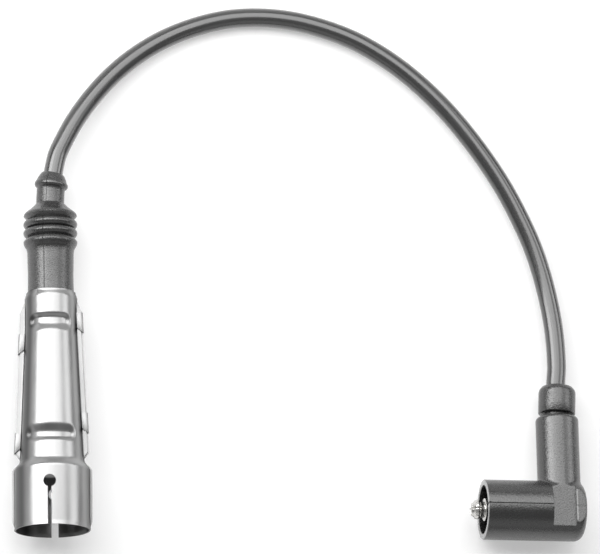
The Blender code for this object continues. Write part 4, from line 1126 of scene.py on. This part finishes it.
def camera():
    """The camera of the photograph: far away, looking down, a little from the left and the front."""
    ahead = Vector((math.sin(CAMERA_LEFT), math.sin(CAMERA_FRONT), 0))
    ahead.z = -math.sqrt(1 - ahead.length_squared)
    right = Vector((-ahead.z, 0, ahead.x)).normalized()
    up = right.cross(ahead)
    data = bpy.data.cameras.new("camera")
    data.lens = LENS
    data.sensor_width = 36
    data.clip_end = 100
    thing = in_scene("camera", data)
    turn = Matrix((right, up, -ahead)).transposed().to_4x4()
    thing.matrix_world = Matrix.Translation(TARGET - CAMERA_DISTANCE * ahead) @ turn
    bpy.context.scene.camera = thing


def lamp(name, place, size, radiance, turn=(0, 0, 0)):
    """A rectangular softbox that faces down unless turned, with a brightness where 1 is white."""
    data = bpy.data.lights.new(name, "AREA")
    data.shape = "RECTANGLE"
    data.size, data.size_y = size
    data.energy = radiance * math.pi * size[0] * size[1]
    thing = in_scene(name, data)
    thing.location = place
    thing.rotation_euler = turn


def studio(colours):
    """Pale floor, soft lamps and the grey of the room."""
    corners = [(x * FLOOR_HALF, y * FLOOR_HALF, 0) for x, y in ((-1, -1), (1, -1), (1, 1), (-1, 1))]
    floor = mesh_object("floor", corners, [(0, 1, 2, 3)])
    floor.data.materials.append(seamless_paper(colours))
    near, far = STRIP_Y
    for number, (left, right, radiance) in enumerate(STRIPS, 1):
        lamp(f"softbox_{number}", ((left + right) / 2, (near + far) / 2, LAMP_HEIGHT),
             (right - left, far - near), radiance)
    for number, (away, low, high, reach, radiance) in enumerate(FILLS, 1):
        lamp(f"fill_{number}", (0, away, (low + high) / 2), (2 * reach, high - low), radiance,
             (math.copysign(math.pi / 2, -away), 0, 0))
    world = bpy.data.worlds.new("room")
    world.use_nodes = True
    tree = world.node_tree
    path = add_node(tree, "ShaderNodeLightPath").outputs
    level = add_node(tree, "ShaderNodeMath",
                     {0: path["Is Glossy Ray"], 1: ROOM_SHINE - ROOM_LIGHT, 2: ROOM_LIGHT},
                     operation="MULTIPLY_ADD")
    for ray in ("Is Camera Ray", "Is Transmission Ray"):
        level = add_node(tree, "ShaderNodeMath", {0: level, 1: path[ray]}, operation="MAXIMUM")
    shade = tree.nodes["Background"]
    shade.inputs["Color"].default_value = (1.0, 1.0, 1.0, 1.0)
    tree.links.new(level.outputs[0], shade.inputs["Strength"])
    scene = bpy.context.scene
    scene.world = world
    scene.view_settings.view_transform = "Standard"


# Add-on

def colour(name, description, code):
    """A colour that a user may change."""
    return FloatVectorProperty(name=name, description=description, default=linear(code)[:3], subtype="COLOR",
                               size=3, min=0.0, max=1.0)


class LeadSizes(bpy.types.PropertyGroup):
    """Sizes of the lead's pieces."""

    cable_radius: FloatProperty(name="Cable radius", description="Radius of the cable's jacket",
                                default=3.5 * MM, min=1 * MM, unit="LENGTH")
    cable_sides: IntProperty(name="Cable sides", description="Faces round the cable", default=40, min=12)
    sheet: FloatProperty(name="Sheet", description="Thickness of the shield's steel sheet",
                         default=0.5 * MM, min=0.1 * MM, unit="LENGTH")
    lobe_radius: FloatProperty(name="Lobe radius", description="Radius over the lobes of the boot's bellows",
                               default=LOBE_R * MM, unit="LENGTH")
    crease_radius: FloatProperty(name="Crease radius", description="Radius in the creases of the bellows",
                                 default=8.25 * MM, unit="LENGTH")
    ring_steps: IntProperty(name="Ring steps", description="Faces round the boot", default=120, min=24)
    skin_step: FloatProperty(name="Skin step", description="Distance between the elbow's mesh lines",
                             default=0.42 * MM, min=0.2 * MM, unit="LENGTH")


class LeadColours(bpy.types.PropertyGroup):
    """Colours of the lead's materials."""

    steel: colour("Steel", "Bright sheet steel of the shield", "#9A9A9A")
    flange: colour("Flange", "Matt flanges of the shield", "#969696")
    nickel: colour("Nickel", "Nickel plate of the split pin", "#D4D3D0")
    brass: colour("Brass", "Turned brass of the clip, caps and ferrules", "#D2A55A")
    rubber: colour("Rubber", "Moulded rubber of the boot, grommet and seal", "#222222")
    jacket: colour("Jacket", "Silicone rubber jacket of the cable", "#2C2C2C")
    nylon: colour("Nylon", "Moulded nylon of the elbow", "#1E1E1E")
    phenolic: colour("Phenolic", "Moulded tube inside the shield", "#242220")
    ceramic: colour("Ceramic", "Resistor bodies", "#DAD2C0")
    paper: colour("Paper", "Studio background paper", "#CCCCCC")


def sizes_of(context):
    """The scene's sizes."""
    return context.scene.lead_sizes


def colours_of(context):
    """The scene's colours."""
    return context.scene.lead_colours


class LEAD_OT_studio(bpy.types.Operator):
    """Add the floor, the lamps and the camera"""

    bl_idname = "lead.studio"
    bl_label = "Studio"

    def execute(self, context):
        camera()
        studio(colours_of(context))
        return {"FINISHED"}


class LEAD_OT_cable(bpy.types.Operator):
    """Add the ignition cable"""

    bl_idname = "lead.cable"
    bl_label = "Cable"

    def execute(self, context):
        cable(sizes_of(context), extruded_silicone(colours_of(context)))
        return {"FINISHED"}


class LEAD_OT_boot(bpy.types.Operator):
    """Add the rubber boot with its bellows"""

    bl_idname = "lead.boot"
    bl_label = "Boot"

    def execute(self, context):
        boot(sizes_of(context), moulded_rubber(colours_of(context)))
        return {"FINISHED"}


class LEAD_OT_shield(bpy.types.Operator):
    """Add the two halves of the steel shield and their tabs"""

    bl_idname = "lead.shield"
    bl_label = "Shield"

    def execute(self, context):
        shield(sizes_of(context), drawn_steel_sheet(colours_of(context)))
        return {"FINISHED"}


class LEAD_OT_inner_pieces(bpy.types.Operator):
    """Add the insulating tube, the seal and the clip, and finish the sealed pieces"""

    bl_idname = "lead.inner_pieces"
    bl_label = "Inner pieces"

    def execute(self, context):
        inner_pieces(colours_of(context))
        return {"FINISHED"}


class LEAD_OT_elbow(bpy.types.Operator):
    """Add the moulded elbow"""

    bl_idname = "lead.elbow"
    bl_label = "Elbow"

    def execute(self, context):
        elbow(sizes_of(context), moulded_nylon(colours_of(context)))
        return {"FINISHED"}


class LEAD_OT_terminal(bpy.types.Operator):
    """Add the split pin"""

    bl_idname = "lead.terminal"
    bl_label = "Split pin"

    def execute(self, context):
        terminal(nickel_plated_brass(colours_of(context)))
        return {"FINISHED"}


class LEAD_OT_grommet(bpy.types.Operator):
    """Add the rubber collar at the elbow's cable end"""

    bl_idname = "lead.grommet"
    bl_label = "Grommet"

    def execute(self, context):
        grommet(moulded_rubber(colours_of(context)))
        return {"FINISHED"}


STEPS = (LEAD_OT_studio, LEAD_OT_cable, LEAD_OT_boot, LEAD_OT_shield, LEAD_OT_elbow, LEAD_OT_terminal,
         LEAD_OT_grommet, LEAD_OT_inner_pieces)


class LEAD_PT_panel(bpy.types.Panel):
    """Sizes, colours and steps of the lead"""

    bl_idname = "LEAD_PT_panel"
    bl_label = "Ignition lead"
    bl_space_type = "VIEW_3D"
    bl_region_type = "UI"
    bl_category = "Ignition lead"

    def draw(self, context):
        for group in (sizes_of(context), colours_of(context)):
            for name in group.__annotations__:
                self.layout.prop(group, name)
        for step in STEPS:
            self.layout.operator(step.bl_idname)


CLASSES = (LeadSizes, LeadColours, *STEPS, LEAD_PT_panel)


def register():
    """Add the classes and the scene's settings."""
    for item in CLASSES:
        bpy.utils.register_class(item)
    bpy.types.Scene.lead_sizes = PointerProperty(type=LeadSizes)
    bpy.types.Scene.lead_colours = PointerProperty(type=LeadColours)


def unregister():
    """Take them out again."""
    del bpy.types.Scene.lead_colours
    del bpy.types.Scene.lead_sizes
    for item in reversed(CLASSES):
        bpy.utils.unregister_class(item)


def main():
    """Build every piece."""
    register()
    bpy.ops.lead.studio()
    bpy.ops.lead.cable()
    bpy.ops.lead.boot()
    bpy.ops.lead.shield()
    bpy.ops.lead.elbow()
    bpy.ops.lead.terminal()
    bpy.ops.lead.grommet()
    bpy.ops.lead.inner_pieces()


if __name__ == "__main__":
    main()
